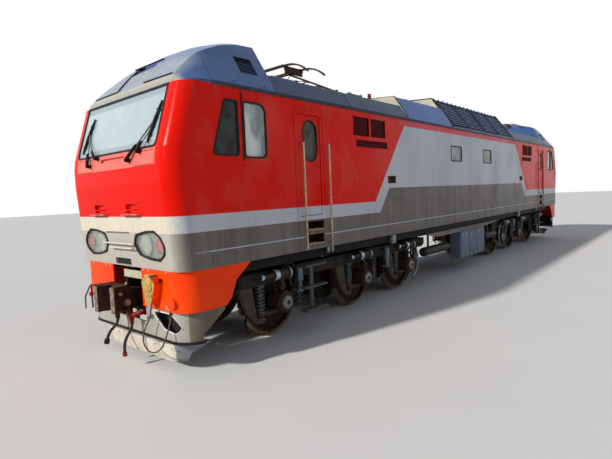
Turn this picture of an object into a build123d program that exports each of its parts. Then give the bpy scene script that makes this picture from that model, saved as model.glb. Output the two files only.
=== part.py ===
"""Six-axle passenger electric locomotive on two three-axle bogies, with a cab at each end.

X runs along the track with cab 1 at -X, Y across it, Z up. Z = 0 is at the tips of the wheel
flanges, and the rail's top lies one flange height above it. Millimetres.
"""
import math
import os

from build123d import *

os.makedirs("parts", exist_ok=True)

# Datum and clearances
flange_height = 30.0
rail_z = flange_height
seat_gap = 0.3
running_gap = 0.3
moving_gap = 8.0
past = 10.0

# Body outline
body_half_width = 1550.0
wall = 60.0
sill_z = rail_z + 1512.0
gutter_z = rail_z + 4100.0
gutter_top_z = gutter_z + 50.0
nose_corner = 260.0
cab_back_x = 7850.0
# Nose sections: height above the rail, reach from the middle of the body
NOSE = (
    (1512.0, 10205.0),
    (1900.0, 10245.0),
    (2750.0, 10305.0),
    (3050.0, 10305.0),
    (3220.0, 10280.0),
    (4100.0, 10010.0),
)
# Moulding along the sides: front end, low and high height above the rail, stand-off
moulding = (9750.0, 1745.0, 1762.0, 6.0)

# Windscreen: inset of its sides from the body's, corner radius, glass
screen_margin = 325.0
screen_corner = 90.0
screen_rubber = 30.0
glass_thickness = 24.0
glass_setback = 10.0
rubber_proud = 8.0

# Cab roofs: reach, inset of the foot from the side, lift of the foot, shoulder half width,
# shoulder and crown height
CAB_ROOF = (
    (9990.0, 260.0, 4.0, 1230.0, 4160.0, 4175.0),
    (9955.0, 180.0, 10.0, 1235.0, 4200.0, 4222.0),
    (9900.0, 120.0, 20.0, 1228.0, 4262.0, 4295.0),
    (9800.0, 55.0, 32.0, 1220.0, 4362.0, 4410.0),
    (9680.0, 14.0, 42.0, 1208.0, 4470.0, 4540.0),
    (9520.0, 0.0, 50.0, 1190.0, 4600.0, 4700.0),
    (9260.0, 0.0, 50.0, 1150.0, 4725.0, 4850.0),
    (9000.0, 0.0, 50.0, 1110.0, 4830.0, 4975.0),
    (8620.0, 0.0, 50.0, 1060.0, 4930.0, 5110.0),
    (8260.0, 0.0, 50.0, 1040.0, 4960.0, 5150.0),
)
cab_roof_back_x = CAB_ROOF[-1][0]
scoop_half = 330.0
# Air slots over the windscreen: low and high Y
MASK_SLOTS = ((-1180.0, -450.0), (345.0, 1150.0))
# Grille on each side of the hump: middle X, share of the slope, width and height
hump_grille = (-8667.0, 0.49, 370.0, 340.0)

# Roof sections along the body: front x, rear x, shoulder half width, shoulder and crown height
low_roof_edge = (1330.0, 4465.0, 4600.0)
smooth_roof = (-3900.0, -1340.0, 1195.0, 4700.0, 4800.0)
louvre_roof = (-1340.0, 3850.0, 920.0, 5020.0, 5080.0)
shoulder_radius = 45.0
end_wall_thickness = 25.0

# Ends: how far the skirt, deflector and rail guard stand back from the foot of the nose
skirt_reach = NOSE[0][1] - 15.0
deflector_reach = NOSE[0][1] - 55.0
guard_reach = NOSE[0][1] - 85.0
skirt_low_z = rail_z + 930.0
skirt_wall = 30.0
coupler_gap = 440.0
plate_x = -skirt_reach - seat_gap

# Running gear
wheel_radius = 625.0
wheel_width = 140.0
wheel_back = 720.0
axle_z = rail_z + wheel_radius
AXLES = (-7950.0, -5400.0, -3450.0)
MOTOR_SIDE = (1, -1, -1)
bogie_pivot_x = 5700.0
beam_width = 180.0
beam_outer = 1180.0
beam_inner = beam_outer - beam_width
beam_low_z = rail_z + 1000.0
beam_top_z = rail_z + 1220.0
spring_offset = 480.0
spring_radius = 85.0
spring_y = beam_outer - 80.0

# Pantograph
arm_pivot = (-6450.0, rail_z + 4790.0)
knee = (-4850.0, rail_z + 4860.0)
head_pivot = (-6700.0, rail_z + 4900.0)
arm_gauge = 400.0
cross_rod_radius = 16.0


def slab(x, y, z, mode=Mode.ADD):
    """A box between low and high values along each axis, in the part being built."""
    with Locations(((x[0] + x[1]) / 2, (y[0] + y[1]) / 2, (z[0] + z[1]) / 2)):
        Box(abs(x[1] - x[0]), abs(y[1] - y[0]), abs(z[1] - z[0]), mode=mode)


def rod(start, end, radius, mode=Mode.ADD):
    """A round bar between two points, in the part being built."""
    a = Vector(*start)
    b = Vector(*end)
    with Locations(Plane(origin=(a + b) * 0.5, z_dir=(b - a)).location):
        Cylinder(radius, (b - a).length, mode=mode)


def side_plate(points, y, mode=Mode.ADD, corner=0.0):
    """A plate with its outline in XZ, between two values of Y, in the part being built."""
    with BuildSketch(Plane.XZ.offset(-y[0])) as outline:
        with BuildLine():
            FilletPolyline(*points, radius=corner, close=True)
        make_face()
    extrude(outline.sketch, amount=-(y[1] - y[0]), mode=mode)


def cross_plate(points, x, mode=Mode.ADD, corner=0.0):
    """A plate with its outline in YZ, between two values of X, in the part being built."""
    with BuildSketch(Plane.YZ.offset(x[0])) as outline:
        with BuildLine():
            FilletPolyline(*points, radius=corner, close=True)
        make_face()
    extrude(outline.sketch, amount=x[1] - x[0], mode=mode)


def save(piece, name):
    """Label a finished piece and write it."""
    piece.label = name
    export_step(piece, "parts/" + name + ".step")


def turned(piece):
    """The same piece at the other end, turned half a turn about the vertical."""
    return piece.rotate(Axis.Z, 180)


# Nose: its sections, its skin between two insets, and openings drawn from the front
nose_front_x = NOSE[2][1] + 95.0
nose_cut = nose_front_x - NOSE[-1][1] + 110.0
front_plane = Plane.YZ.offset(-nose_front_x)


def nose_x(height):
    """X of the nose's skin in the middle of the body, at a height above the rail."""
    for (z0, r0), (z1, r1) in zip(NOSE, NOSE[1:]):
        if z0 <= height <= z1:
            return -(r0 + (r1 - r0) * (height - z0) / (z1 - z0))
    return -NOSE[-1][1]


def nose_section(height, reach, inset):
    """Rounded plan outline of the nose at one height, drawn inset from the skin."""
    back = cab_back_x - inset
    with BuildSketch(Plane.XY.offset(height)) as section:
        with Locations((-(reach - inset + back) / 2, 0)):
            Rectangle(reach - inset - back, 2 * (body_half_width - inset))
        front = section.vertices().group_by(Axis.X)[0]
        fillet(front, nose_corner - inset)
    return section.sketch


def in_skin(outline, outer, inner):
    """The part of the nose's skin behind an outline on the front plane, between two insets."""
    with BuildPart() as piece:
        loft([nose_section(rail_z + h, reach, outer) for h, reach in NOSE], ruled=True)
        loft([nose_section(rail_z + h, reach, inner) for h, reach in NOSE], ruled=True, mode=Mode.SUBTRACT)
        extrude(outline, amount=nose_cut, mode=Mode.INTERSECT)
    return piece.part


# Lamp cluster: outline and lenses, as Y and height above the rail, and the lens radius
LAMP_OUTLINE = (
    (-395.0, 1870.0),
    (-470.0, 2020.0),
    (-760.0, 2072.0),
    (-990.0, 2082.0),
    (-1150.0, 1990.0),
    (-1232.0, 1860.0),
    (-1205.0, 1740.0),
    (-1060.0, 1638.0),
    (-800.0, 1646.0),
    (-510.0, 1702.0),
)
LENSES = ((-700.0, 1864.0, 150.0), (-1060.0, 1866.0, 105.0))
lamp_corner = 60.0
lamp_rubber = 34.0
lamp_glass_inset = (4.0, 10.0)
lens_inset = (20.0, 60.0)
lamp_panel_inset = (40.0, 75.0)


def lamp_outline(gap):
    """Outline of the right lamp cluster on the front plane, drawn in by a gap."""
    with BuildSketch(front_plane) as lamp:
        with BuildLine():
            Polyline(*[(y, rail_z + z) for y, z in LAMP_OUTLINE], close=True)
        make_face()
        fillet(lamp.vertices(), lamp_corner)
        if gap:
            offset(amount=-gap, mode=Mode.REPLACE)
    return lamp.sketch


def screen_outline(gap):
    """Outline of the windscreen on the front plane, drawn in by a gap, open corners at the roof."""
    half = body_half_width - screen_margin - gap
    low = rail_z + NOSE[4][0] + gap
    high = gutter_z - gap
    with BuildSketch(front_plane) as screen:
        with BuildLine():
            FilletPolyline((-half, low), (half, low), (half, high), (-half, high), close=True,
                           radius=[screen_corner - gap, screen_corner - gap, 0, 0])
        make_face()
    return screen.sketch


# Cab side windows and the small windows amidships: X, height above the rail and corner radius,
# each from the low front corner round
CAB_WINDOWS = (
    ((-9610.0, 3095.0, 65.0), (-9090.0, 3095.0, 60.0), (-9090.0, 3920.0, 40.0), (-9350.0, 3920.0, 60.0)),
    ((-9000.0, 3075.0, 30.0), (-8525.0, 3075.0, 110.0), (-8525.0, 3925.0, 150.0), (-9000.0, 3925.0, 30.0)),
)
MID_WINDOW = (
    (-1570.0, 3210.0, 60.0), (-830.0, 3210.0, 60.0), (-830.0, 3640.0, 60.0), (-1570.0, 3640.0, 60.0),
)
window_rubber = 28.0


def window_outline(corners, gap, depth):
    """Outline of a side window at a depth behind the skin of the right side, drawn in by a gap."""
    with BuildSketch(Plane.XZ.offset(body_half_width - depth)) as window:
        with BuildLine():
            FilletPolyline(*[(x, rail_z + z) for x, z, _ in corners], close=True,
                           radius=[r for _, _, r in corners])
        make_face()
        if gap:
            offset(amount=-gap, mode=Mode.REPLACE)
    return window.sketch


# Openings in the nose: footholds, the slots over the sill panel and between the lamps, the notch
# over the coupler. Low and high Y, low and high height above the rail, corner radius, depth
NOSE_CUTS = (
    (-640.0, -290.0, 2330.0, 2460.0, 20.0, 45.0),
    (370.0, 720.0, 2330.0, 2460.0, 20.0, 45.0),
    (-370.0, 370.0, 3105.0, 3165.0, 28.0, 40.0),
    (-290.0, 430.0, 2018.0, 2044.0, 6.0, 40.0),
    (-210.0, 270.0, 1530.0, 1632.0, 8.0, wall + past),
)
# Cab shells: nose, side windows and windscreen opening in one welded skin
with BuildPart() as cab_shell:
    loft([nose_section(rail_z + h, reach, 0) for h, reach in NOSE], ruled=True)
    loft([nose_section(rail_z + h, reach, wall) for h, reach in NOSE], ruled=True, mode=Mode.SUBTRACT)
    extrude(lamp_outline(0), amount=nose_cut, mode=Mode.SUBTRACT)
    extrude(mirror(lamp_outline(0), about=Plane.XZ), amount=nose_cut, mode=Mode.SUBTRACT)
    extrude(screen_outline(0), amount=nose_cut, mode=Mode.SUBTRACT)
    for y0, y1, z0, z1, radius, depth in NOSE_CUTS:
        with BuildSketch(front_plane) as opening:
            with Locations(((y0 + y1) / 2, rail_z + (z0 + z1) / 2)):
                RectangleRounded(y1 - y0, z1 - z0, radius)
        extrude(opening.sketch, amount=nose_front_x + nose_x((z0 + z1) / 2) + depth, mode=Mode.SUBTRACT)
    for corners in CAB_WINDOWS:
        extrude(window_outline(corners, 0, 0), amount=-2 * body_half_width, mode=Mode.SUBTRACT)
    front, low, high, proud = moulding
    for side in (-1, 1):
        slab((-front, -cab_back_x), (side * body_half_width, side * (body_half_width + proud)),
             (rail_z + low, rail_z + high))
save(cab_shell.part, "cab_shell_front")
save(turned(cab_shell.part), "cab_shell_rear")

# Bulkheads close the cabs at the back, each with a closed passage door
bulkhead_x = (-cab_back_x + 2.0, -cab_back_x + 50.0)
passage_half = 350.0
passage_z = (sill_z + 10.0, rail_z + 3500.0)
with BuildPart() as bulkheads:
    half = body_half_width - wall - seat_gap
    slab(bulkhead_x, (-half, half), (sill_z + seat_gap, gutter_z - seat_gap))
    slab(bulkhead_x, (-passage_half, passage_half), passage_z, Mode.SUBTRACT)
    half = passage_half - seat_gap
    slab((bulkhead_x[0] + 4, bulkhead_x[1] - 4), (-half, half), (passage_z[0] + 5, passage_z[1] - 5))
    mirror(about=Plane.YZ)
save(bulkheads.part, "bulkheads")

# Side walls between the cabs, with doorways, windows, air intakes and step niches
door_x = (-7800.0, -7190.0)
door_z = (rail_z + 2110.0, rail_z + 3860.0)
door_faces = (-body_half_width + 20.0, -body_half_width + 60.0)
door_hinge = (door_x[1] - moving_gap, door_faces[1] + 12.0)
hinge_radius = 9.0
hinge_leaf = 70.0
HINGES = (2300.0, 2950.0, 3600.0)
# Air intakes: low and high X, low and high height above the rail, and 1 where the slats stand upright
LOUVRES = (
    (-6140.0, -5590.0, 3610.0, 3980.0, 1),
    (-5510.0, -4960.0, 3610.0, 3980.0, 1),
    (-6050.0, -4890.0, 3390.0, 3530.0, 0),
    (-4890.0, -4560.0, 2650.0, 2810.0, 0),
)
louvre_depth = 40.0
slat_pitch = 46.0
slat_half = 9.0
slat_setback = 8.0
NICHES = ((1600.0, 1780.0), (1850.0, 2010.0))
niche_x = (-7660.0, -7180.0)
niche_depth = 220.0
step_wall = 30.0
step_box_x = (niche_x[0] - step_wall, niche_x[1] + step_wall)
step_box_z = (rail_z + NICHES[0][0] - step_wall, rail_z + NICHES[1][1] + step_wall)
with BuildPart() as side_wall:
    slab((-cab_back_x, 0), (-body_half_width, -body_half_width + wall), (sill_z, gutter_z))
    _, low, high, proud = moulding
    slab((-cab_back_x, 0), (-body_half_width - proud, -body_half_width), (rail_z + low, rail_z + high))
    slab(step_box_x, (-body_half_width - proud, -body_half_width + wall), step_box_z, Mode.SUBTRACT)
    for x0, x1, z0, z1, upright in LOUVRES:
        face = (-body_half_width, -body_half_width + louvre_depth)
        slab((x0, x1), face, (rail_z + z0, rail_z + z1), Mode.SUBTRACT)
        span = x1 - x0 if upright else z1 - z0
        for i in range(int(span / slat_pitch)):
            middle = (i + 0.5) * slat_pitch
            if upright:
                slat_x = (x0 + middle - slat_half, x0 + middle + slat_half)
                slab(slat_x, (face[0] + slat_setback, face[1]), (rail_z + z0, rail_z + z1))
            else:
                slat_z = (rail_z + z0 + middle - slat_half, rail_z + z0 + middle + slat_half)
                slab((x0, x1), (face[0] + slat_setback, face[1]), slat_z)
    slab(door_x, (-body_half_width, -body_half_width + wall + past), door_z, Mode.SUBTRACT)
    extrude(window_outline(MID_WINDOW, 0, 0), amount=-wall - past, mode=Mode.SUBTRACT)
    for z in HINGES:
        for low, high in ((z, z + 40), (z + 80, z + 120)):
            rod((*door_hinge, rail_z + low), (*door_hinge, rail_z + high), hinge_radius)
            slab((door_hinge[0], door_hinge[0] + hinge_leaf), (door_faces[1], door_hinge[1]),
                 (rail_z + low, rail_z + high))
    mirror(about=Plane.YZ)
save(side_wall.part, "side_wall_right")
save(turned(side_wall.part), "side_wall_left")

# Step boxes set into the walls below the doors
with BuildPart() as step_boxes:
    outer = (step_box_x[0] + seat_gap, step_box_x[1] - seat_gap)
    slab(outer, (-body_half_width, -body_half_width + niche_depth + step_wall),
         (step_box_z[0] + seat_gap, step_box_z[1] - seat_gap))
    for low, high in NICHES:
        slab(niche_x, (-body_half_width, -body_half_width + niche_depth), (rail_z + low, rail_z + high),
             Mode.SUBTRACT)
    mirror(about=Plane.YZ)
    mirror(about=Plane.XZ)
save(step_boxes.part, "step_boxes")

# Doors, hinged at the edge away from the cab and opening inwards, each with its oval window
door_edge = (door_x[0] + moving_gap, door_x[1] - moving_gap)
oval = (-7455.0, 3415.0, 410.0, 730.0)
oval_rubber = 26.0
pane_thickness = 12.0


def oval_outline(gap, y):
    """Outline of a door's window at one Y, drawn in by a gap."""
    x, z, width, height = oval
    with BuildSketch(Plane.XZ.offset(-y)) as outline:
        with Locations((x, rail_z + z)):
            SlotOverall(height - 2 * gap, width - 2 * gap, rotation=90)
    return outline.sketch


with BuildPart() as door:
    slab(door_edge, door_faces, (door_z[0] + moving_gap, door_z[1] - moving_gap))
    depth = door_faces[1] - door_faces[0]
    extrude(oval_outline(0, door_faces[0]), amount=-depth, mode=Mode.SUBTRACT)
    extrude(oval_outline(seat_gap, door_faces[0] - rubber_proud), amount=-depth)
    extrude(oval_outline(oval_rubber, door_faces[0] - rubber_proud), amount=-depth, mode=Mode.SUBTRACT)
    extrude(oval_outline(oval_rubber + seat_gap, door_faces[0] + pane_thickness), amount=-pane_thickness)
    for z in HINGES:
        low = rail_z + z + 40 + seat_gap
        high = rail_z + z + 80 - seat_gap
        rod((*door_hinge, low), (*door_hinge, high), hinge_radius)
        slab((door_hinge[0] - hinge_leaf, door_hinge[0]), (door_faces[1], door_hinge[1]), (low, high))
save(door.part, "door_1")
save(mirror(door.part, about=Plane.YZ), "door_2")
save(turned(mirror(door.part, about=Plane.YZ)), "door_3")
save(turned(door.part), "door_4")


# Underframe: floor, side sills with jacking pads, bolsters with pivot pins
floor_z = (sill_z - 90.0, sill_z - seat_gap)
side_sill_z = sill_z - 170.0
sill_y = (body_half_width - 110.0, body_half_width - 300.0)
jack_x = -2900.0
jack_y = body_half_width - 220.0
jack_half = 60.0
jack_drop = 20.0
pin_radius = 100.0
floor_end_x = 9900.0
with BuildPart() as underframe:
    slab((-floor_end_x, floor_end_x), (40 - body_half_width, body_half_width - 40), (sill_z - 20, floor_z[1]))
    slab((-floor_end_x, floor_end_x), (-sill_y[0], sill_y[0]), (floor_z[0], sill_z - 20))
    for side in (-1, 1):
        slab((-floor_end_x, floor_end_x), (side * sill_y[0], side * sill_y[1]), (side_sill_z, floor_z[0]))
        slab((jack_x - jack_half, jack_x + jack_half), (side * jack_y - jack_half, side * jack_y + jack_half),
             (side_sill_z - jack_drop, side_sill_z))
    slab((-bogie_pivot_x - 350, -bogie_pivot_x + 350), (-500, 500), (rail_z + 1380, floor_z[0]))
    rod((-bogie_pivot_x, 0, rail_z + 1180), (-bogie_pivot_x, 0, rail_z + 1380), pin_radius)
    mirror(about=Plane.YZ)
save(underframe.part, "underframe")

# Draft boxes under the floor, with the pin that each coupler swings on
coupler_pivot_x = 9480.0
draft_floor_z = rail_z + 840.0
draft_x = (-10060.0, -9250.0)
draft_roof_z = rail_z + 1300.0
pin_top_z = rail_z + 940.0
with BuildPart() as draft_boxes:
    slab((draft_x[0] - 20, draft_x[1] + 50), (-300, 300), (draft_roof_z, floor_z[0] - seat_gap))
    for side in (-1, 1):
        slab(draft_x, (side * 240, side * 300), (draft_floor_z, draft_roof_z))
    slab((draft_x[1] - 60, draft_x[1]), (-300, 300), (draft_floor_z, draft_roof_z))
    slab(draft_x, (-300, 300), (draft_floor_z - 50, draft_floor_z))
    rod((-coupler_pivot_x, 0, draft_floor_z), (-coupler_pivot_x, 0, pin_top_z), 40)
    mirror(about=Plane.YZ)
save(draft_boxes.part, "draft_boxes")


def slope_plane(x, side, low, high, share=0.5):
    """Plane on a roof's slope at one X, between its low and high points (Y, Z) on one side."""
    rise = high[1] - low[1]
    run = low[0] - high[0]
    return Plane(origin=(x, side * (low[0] - run * share), low[1] + rise * share), x_dir=(1, 0, 0),
                 z_dir=(0, side * rise, run))


def cab_roof_section(reach, inset, lift, shoulder, shoulder_z, crown_z):
    """Cross section of the cab roof at one reach, closed along the gutter."""
    base = gutter_z + seat_gap
    half = body_half_width - inset
    top = rail_z + shoulder_z
    with BuildSketch(Plane.YZ.offset(-reach)) as section:
        with BuildLine():
            Polyline((shoulder, top), (half, base + lift), (half, base), (-half, base), (-half, base + lift),
                     (-shoulder, top))
            ThreePointArc((-shoulder, top), (0, rail_z + crown_z), (shoulder, top))
        make_face()
    return section.sketch


# Moulded cab roofs: a front mask and a hump behind it, with a scoop up the middle, air slots and
# side grilles. The joint between mask and hump leans back
seam_foot = (-9536.0, rail_z + 4100.0)
seam_head = (-9380.0, rail_z + 5130.0)
seam_width = 8.0
grille_depth = 60.0
scoop_side = ((-10100.0, rail_z + 4250.0), (-9430.0, rail_z + 4690.0), (-9430.0, rail_z + 5000.0),
              (-10100.0, rail_z + 5000.0))
mask_slot = ((-10000.0, -9800.0), (rail_z + 4234.0, rail_z + 4262.0))
scoop_slot = ((-9560.0, -9350.0), (-410.0, 430.0), (rail_z + 4655.0, rail_z + 4688.0))
with BuildPart() as cab_roof:
    loft([cab_roof_section(*row) for row in CAB_ROOF], ruled=True)
    side_plate(scoop_side, (-scoop_half, scoop_half), Mode.SUBTRACT)
    for y in MASK_SLOTS:
        slab(mask_slot[0], y, mask_slot[1], Mode.SUBTRACT)
    slab(*scoop_slot, Mode.SUBTRACT)
    side_plate([seam_foot, (seam_foot[0] + seam_width, seam_foot[1]),
                (seam_head[0] + seam_width, seam_head[1]), seam_head],
               (-body_half_width, body_half_width), Mode.SUBTRACT)
    x, share, width, height = hump_grille
    _, _, _, shoulder, shoulder_z, _ = CAB_ROOF[-2]
    for side in (-1, 1):
        face = slope_plane(x, side, (body_half_width, gutter_top_z), (shoulder, rail_z + shoulder_z), share)
        with BuildSketch(face.offset(seam_width)):
            RectangleRounded(width, height, 20)
        extrude(amount=-grille_depth, mode=Mode.SUBTRACT)
        with BuildSketch(face.offset(-slat_setback)):
            with GridLocations(0, slat_pitch, 1, int(height / slat_pitch)):
                Rectangle(width, slat_half)
        extrude(amount=-grille_depth)
save(cab_roof.part, "cab_roof_front")
save(turned(cab_roof.part), "cab_roof_rear")


def roof_section(x, shoulder, shoulder_height, crown):
    """A length of roof between the gutters and two values of X, in the part being built."""
    base = gutter_z + seat_gap
    half = body_half_width
    points = [(-half, base), (half, base), (half, gutter_top_z), (shoulder, rail_z + shoulder_height),
              (0, rail_z + crown), (-shoulder, rail_z + shoulder_height), (-half, gutter_top_z)]
    cross_plate(points, x, corner=[0, 0, 0, shoulder_radius, 0, shoulder_radius, 0])


# Low roofs beside the pantographs
with BuildPart() as low_roofs:
    roof_section((-cab_roof_back_x + seat_gap, smooth_roof[0] - end_wall_thickness), *low_roof_edge)
    roof_section((louvre_roof[1] + end_wall_thickness, cab_roof_back_x - seat_gap), *low_roof_edge)
save(low_roofs.part, "low_roofs")

# Raised roof sections: a smooth cover, and a louvred one over the cooling equipment
with BuildPart() as roof_smooth:
    roof_section((smooth_roof[0], smooth_roof[1] - end_wall_thickness), *smooth_roof[2:])
save(roof_smooth.part, "roof_smooth_section")

ROOF_PANELS = ((-1200.0, 1130.0), (1300.0, 3720.0))
panel_margin = 160.0
roof_slat_pitch = 78.0
roof_slat = 26.0
with BuildPart() as roof_louvred:
    roof_section(louvre_roof[:2], *louvre_roof[2:])
    foot = (body_half_width, gutter_top_z)
    shoulder = (louvre_roof[2], rail_z + louvre_roof[3])
    height = math.hypot(foot[0] - shoulder[0], shoulder[1] - foot[1]) - panel_margin
    for side in (-1, 1):
        for x0, x1 in ROOF_PANELS:
            face = slope_plane((x0 + x1) / 2, side, foot, shoulder)
            with BuildSketch(face):
                Rectangle(x1 - x0, height)
            extrude(amount=-grille_depth, mode=Mode.SUBTRACT)
            with BuildSketch(face):
                with GridLocations(0, roof_slat_pitch, 1, int(height / roof_slat_pitch)):
                    Rectangle(x1 - x0, roof_slat)
                Rectangle(2 * roof_slat, height)
            extrude(amount=-grille_depth)
save(roof_louvred.part, "roof_louvre_section")

# Pale end walls of the raised sections
with BuildPart() as end_walls:
    thickness = end_wall_thickness - seat_gap
    roof_section((smooth_roof[0] - thickness, smooth_roof[0] - seat_gap), *smooth_roof[2:])
    roof_section((smooth_roof[1] - thickness, smooth_roof[1] - seat_gap), *louvre_roof[2:])
    roof_section((louvre_roof[1] + seat_gap, louvre_roof[1] + thickness), *louvre_roof[2:])
save(end_walls.part, "roof_end_walls")

# Windscreens
with BuildPart() as windshields:
    add(in_skin(screen_outline(screen_rubber + seat_gap), glass_setback, glass_setback + glass_thickness))
    mirror(about=Plane.YZ)
save(windshields.part, "windshields")

# Rubber frames of the windscreens, lamp clusters and side windows, and the sliding panes' guides
ring_depth = 30.0
guide_x = (-9028.0, -9006.0)
with BuildPart() as rubbers:
    add(in_skin(lamp_outline(seat_gap), -rubber_proud, wall))
    extrude(lamp_outline(lamp_rubber), amount=nose_cut, mode=Mode.SUBTRACT)
    mirror(about=Plane.XZ)
    add(in_skin(screen_outline(seat_gap), -rubber_proud, wall))
    extrude(screen_outline(screen_rubber), amount=nose_cut, mode=Mode.SUBTRACT)
    for corners in (*CAB_WINDOWS, MID_WINDOW):
        extrude(window_outline(corners, seat_gap, ring_depth), amount=ring_depth + rubber_proud)
        extrude(window_outline(corners, window_rubber, ring_depth), amount=ring_depth + rubber_proud,
                mode=Mode.SUBTRACT)
    slab(guide_x, (-body_half_width - 12, -body_half_width - seat_gap), (rail_z + 3040, rail_z + 4040))
    mirror(about=Plane.YZ)
    mirror(about=Plane.XZ)
save(rubbers.part, "window_rubbers")

# Side panes and the clear covers of the lamp clusters
with BuildPart() as panes:
    add(in_skin(lamp_outline(lamp_rubber + seat_gap), *lamp_glass_inset))
    for corners in (*CAB_WINDOWS, MID_WINDOW):
        extrude(window_outline(corners, window_rubber + seat_gap, 24), amount=pane_thickness)
    mirror(about=Plane.YZ)
    mirror(about=Plane.XZ)
save(panes.part, "side_glass")

# Lamp clusters: a panel behind each cover with a clear lamp and a smaller red one
with BuildPart() as lenses:
    with BuildSketch(front_plane):
        for y, z, radius in LENSES:
            with Locations((y, rail_z + z)):
                Circle(radius)
    extrude(amount=nose_cut)
with BuildPart() as headlamps:
    loft([nose_section(rail_z + h, reach, lens_inset[0]) for h, reach in NOSE], ruled=True)
    loft([nose_section(rail_z + h, reach, lens_inset[1]) for h, reach in NOSE], ruled=True,
         mode=Mode.SUBTRACT)
    add(lenses.part, mode=Mode.INTERSECT)
    add(in_skin(lamp_outline(lamp_rubber + seat_gap), *lamp_panel_inset))
    mirror(about=Plane.XZ)
    mirror(about=Plane.YZ)
save(headlamps.part, "headlamps")


# Orange skirts round the couplers
def bumper_plan(reach, half, corner, length, z):
    """Plan of a skirt or blade that wraps round the end of the locomotive, at one height."""
    with BuildSketch(Plane.XY.offset(z)) as plan:
        with Locations((-reach + length / 2, 0)):
            Rectangle(length, 2 * half)
        fillet(plan.vertices().group_by(Axis.X)[0], corner)
    return plan.sketch


def bumper_wall(size, inset, z):
    """Solid inside such a plan, drawn in by an inset: reach, half width, corner and length at two heights."""
    sections = [bumper_plan(reach - inset, half - inset, corner - inset, length + past * (inset > 0), height)
                for (reach, half, corner, length), height in zip(size, z)]
    loft(sections, ruled=True, mode=Mode.SUBTRACT if inset else Mode.ADD)


skirt_size = (skirt_reach, body_half_width - 5.0, 330.0, 1230.0)
skirt_side = ((1300.0, sill_z), (1210.0, sill_z), (900.0, rail_z + 1270.0), (800.0, rail_z + 1030.0),
              (680.0, skirt_low_z - past), (1300.0, skirt_low_z - past))
boss = (-1250.0, 1060.0, 75.0, 35.0)
with BuildPart() as skirts:
    for inset in (0, skirt_wall):
        bumper_wall((skirt_size, skirt_size), inset, (skirt_low_z, sill_z - seat_gap))
    slab((-nose_front_x, -skirt_reach + 500), (-coupler_gap, coupler_gap), (skirt_low_z, sill_z),
         Mode.SUBTRACT)
    side_plate([(-skirt_reach + x, z) for x, z in skirt_side], (-body_half_width, body_half_width),
               Mode.SUBTRACT)
    y, z, radius, proud = boss
    rod((-skirt_reach - proud, y, rail_z + z), (-skirt_reach + skirt_wall / 2, y, rail_z + z), radius)
    mirror(about=Plane.YZ)
save(skirts.part, "skirts")

# Grey deflectors and pale rail guards under the skirts, with their brackets
deflector_low_z = rail_z + 470.0
deflector_wall = 25.0
deflector_size = (deflector_reach, body_half_width - 70.0, 380.0, 800.0)
deflector_side = ((900.0, skirt_low_z), (655.0, skirt_low_z), (680.0, rail_z + 871.0),
                  (280.0, rail_z + 586.0), (270.0, deflector_low_z - past), (900.0, deflector_low_z - past))
DEFLECTOR_HOLE = ((600.0, 885.0), (1130.0, 885.0), (1310.0, 700.0), (1210.0, 600.0), (920.0, 640.0))
deflector_middle_z = rail_z + 680.0
bracket_y = (330.0, 350.0)
post_y = (320.0, 360.0)
post_x = (-floor_end_x, -floor_end_x + 50.0)
with BuildPart() as deflectors:
    for inset in (0, deflector_wall):
        bumper_wall((deflector_size, deflector_size), inset, (deflector_low_z, skirt_low_z - seat_gap))
    for side in (-1, 1):
        hole = [(side * y, rail_z + z) for y, z in DEFLECTOR_HOLE]
        cross_plate(hole, (-nose_front_x, -deflector_reach + 380), Mode.SUBTRACT, corner=45)
    slab((-nose_front_x, -deflector_reach + 250), (-coupler_gap, coupler_gap),
         (deflector_middle_z, skirt_low_z), Mode.SUBTRACT)
    side_plate([(-deflector_reach + x, z) for x, z in deflector_side], (-body_half_width, body_half_width),
               Mode.SUBTRACT)
    for side in (-1, 1):
        bracket = [side * y for y in bracket_y]
        slab((-deflector_reach + deflector_wall - 5, post_x[1]), bracket,
             (deflector_low_z, deflector_middle_z - past))
        slab(post_x, [side * y for y in post_y], (deflector_low_z, floor_z[0] - seat_gap))
    mirror(about=Plane.YZ)
save(deflectors.part, "deflectors")

guard_z = (rail_z + 130.0, rail_z + 400.0)
guard_wall = 22.0
guard_ledge = (140.0, 12.0)
guard_low = (guard_reach - 60.0, body_half_width - 290.0, 500.0, 560.0)
guard_high = (guard_reach, body_half_width - 250.0, 520.0, 620.0)
guard_side = ((700.0, guard_z[1] + past), (520.0, guard_z[1] + past), (230.0, rail_z + 265.0),
              (200.0, guard_z[0] - past), (700.0, guard_z[0] - past))
with BuildPart() as rail_guards:
    bumper_wall((guard_low, guard_high), 0, guard_z)
    bumper_wall((guard_low, guard_high), guard_wall, guard_z)
    extrude(bumper_plan(*guard_high, guard_z[1]), amount=-guard_ledge[1])
    reach, half, corner, length = guard_high
    ledge, thickness = guard_ledge
    inner = bumper_plan(reach - ledge, half - ledge, corner - ledge, length, guard_z[1])
    extrude(inner, amount=-thickness, mode=Mode.SUBTRACT)
    side_plate([(-guard_reach + x, z) for x, z in guard_side], (-body_half_width, body_half_width),
               Mode.SUBTRACT)
    for side in (-1, 1):
        bracket = [side * y for y in bracket_y]
        slab((-guard_reach + guard_wall - 5, post_x[1]), bracket, (rail_z + 300, guard_z[1] - 5))
        slab(post_x, [side * y for y in post_y], (rail_z + 300, deflector_low_z - seat_gap))
    mirror(about=Plane.YZ)
save(rail_guards.part, "rail_guards")

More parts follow.
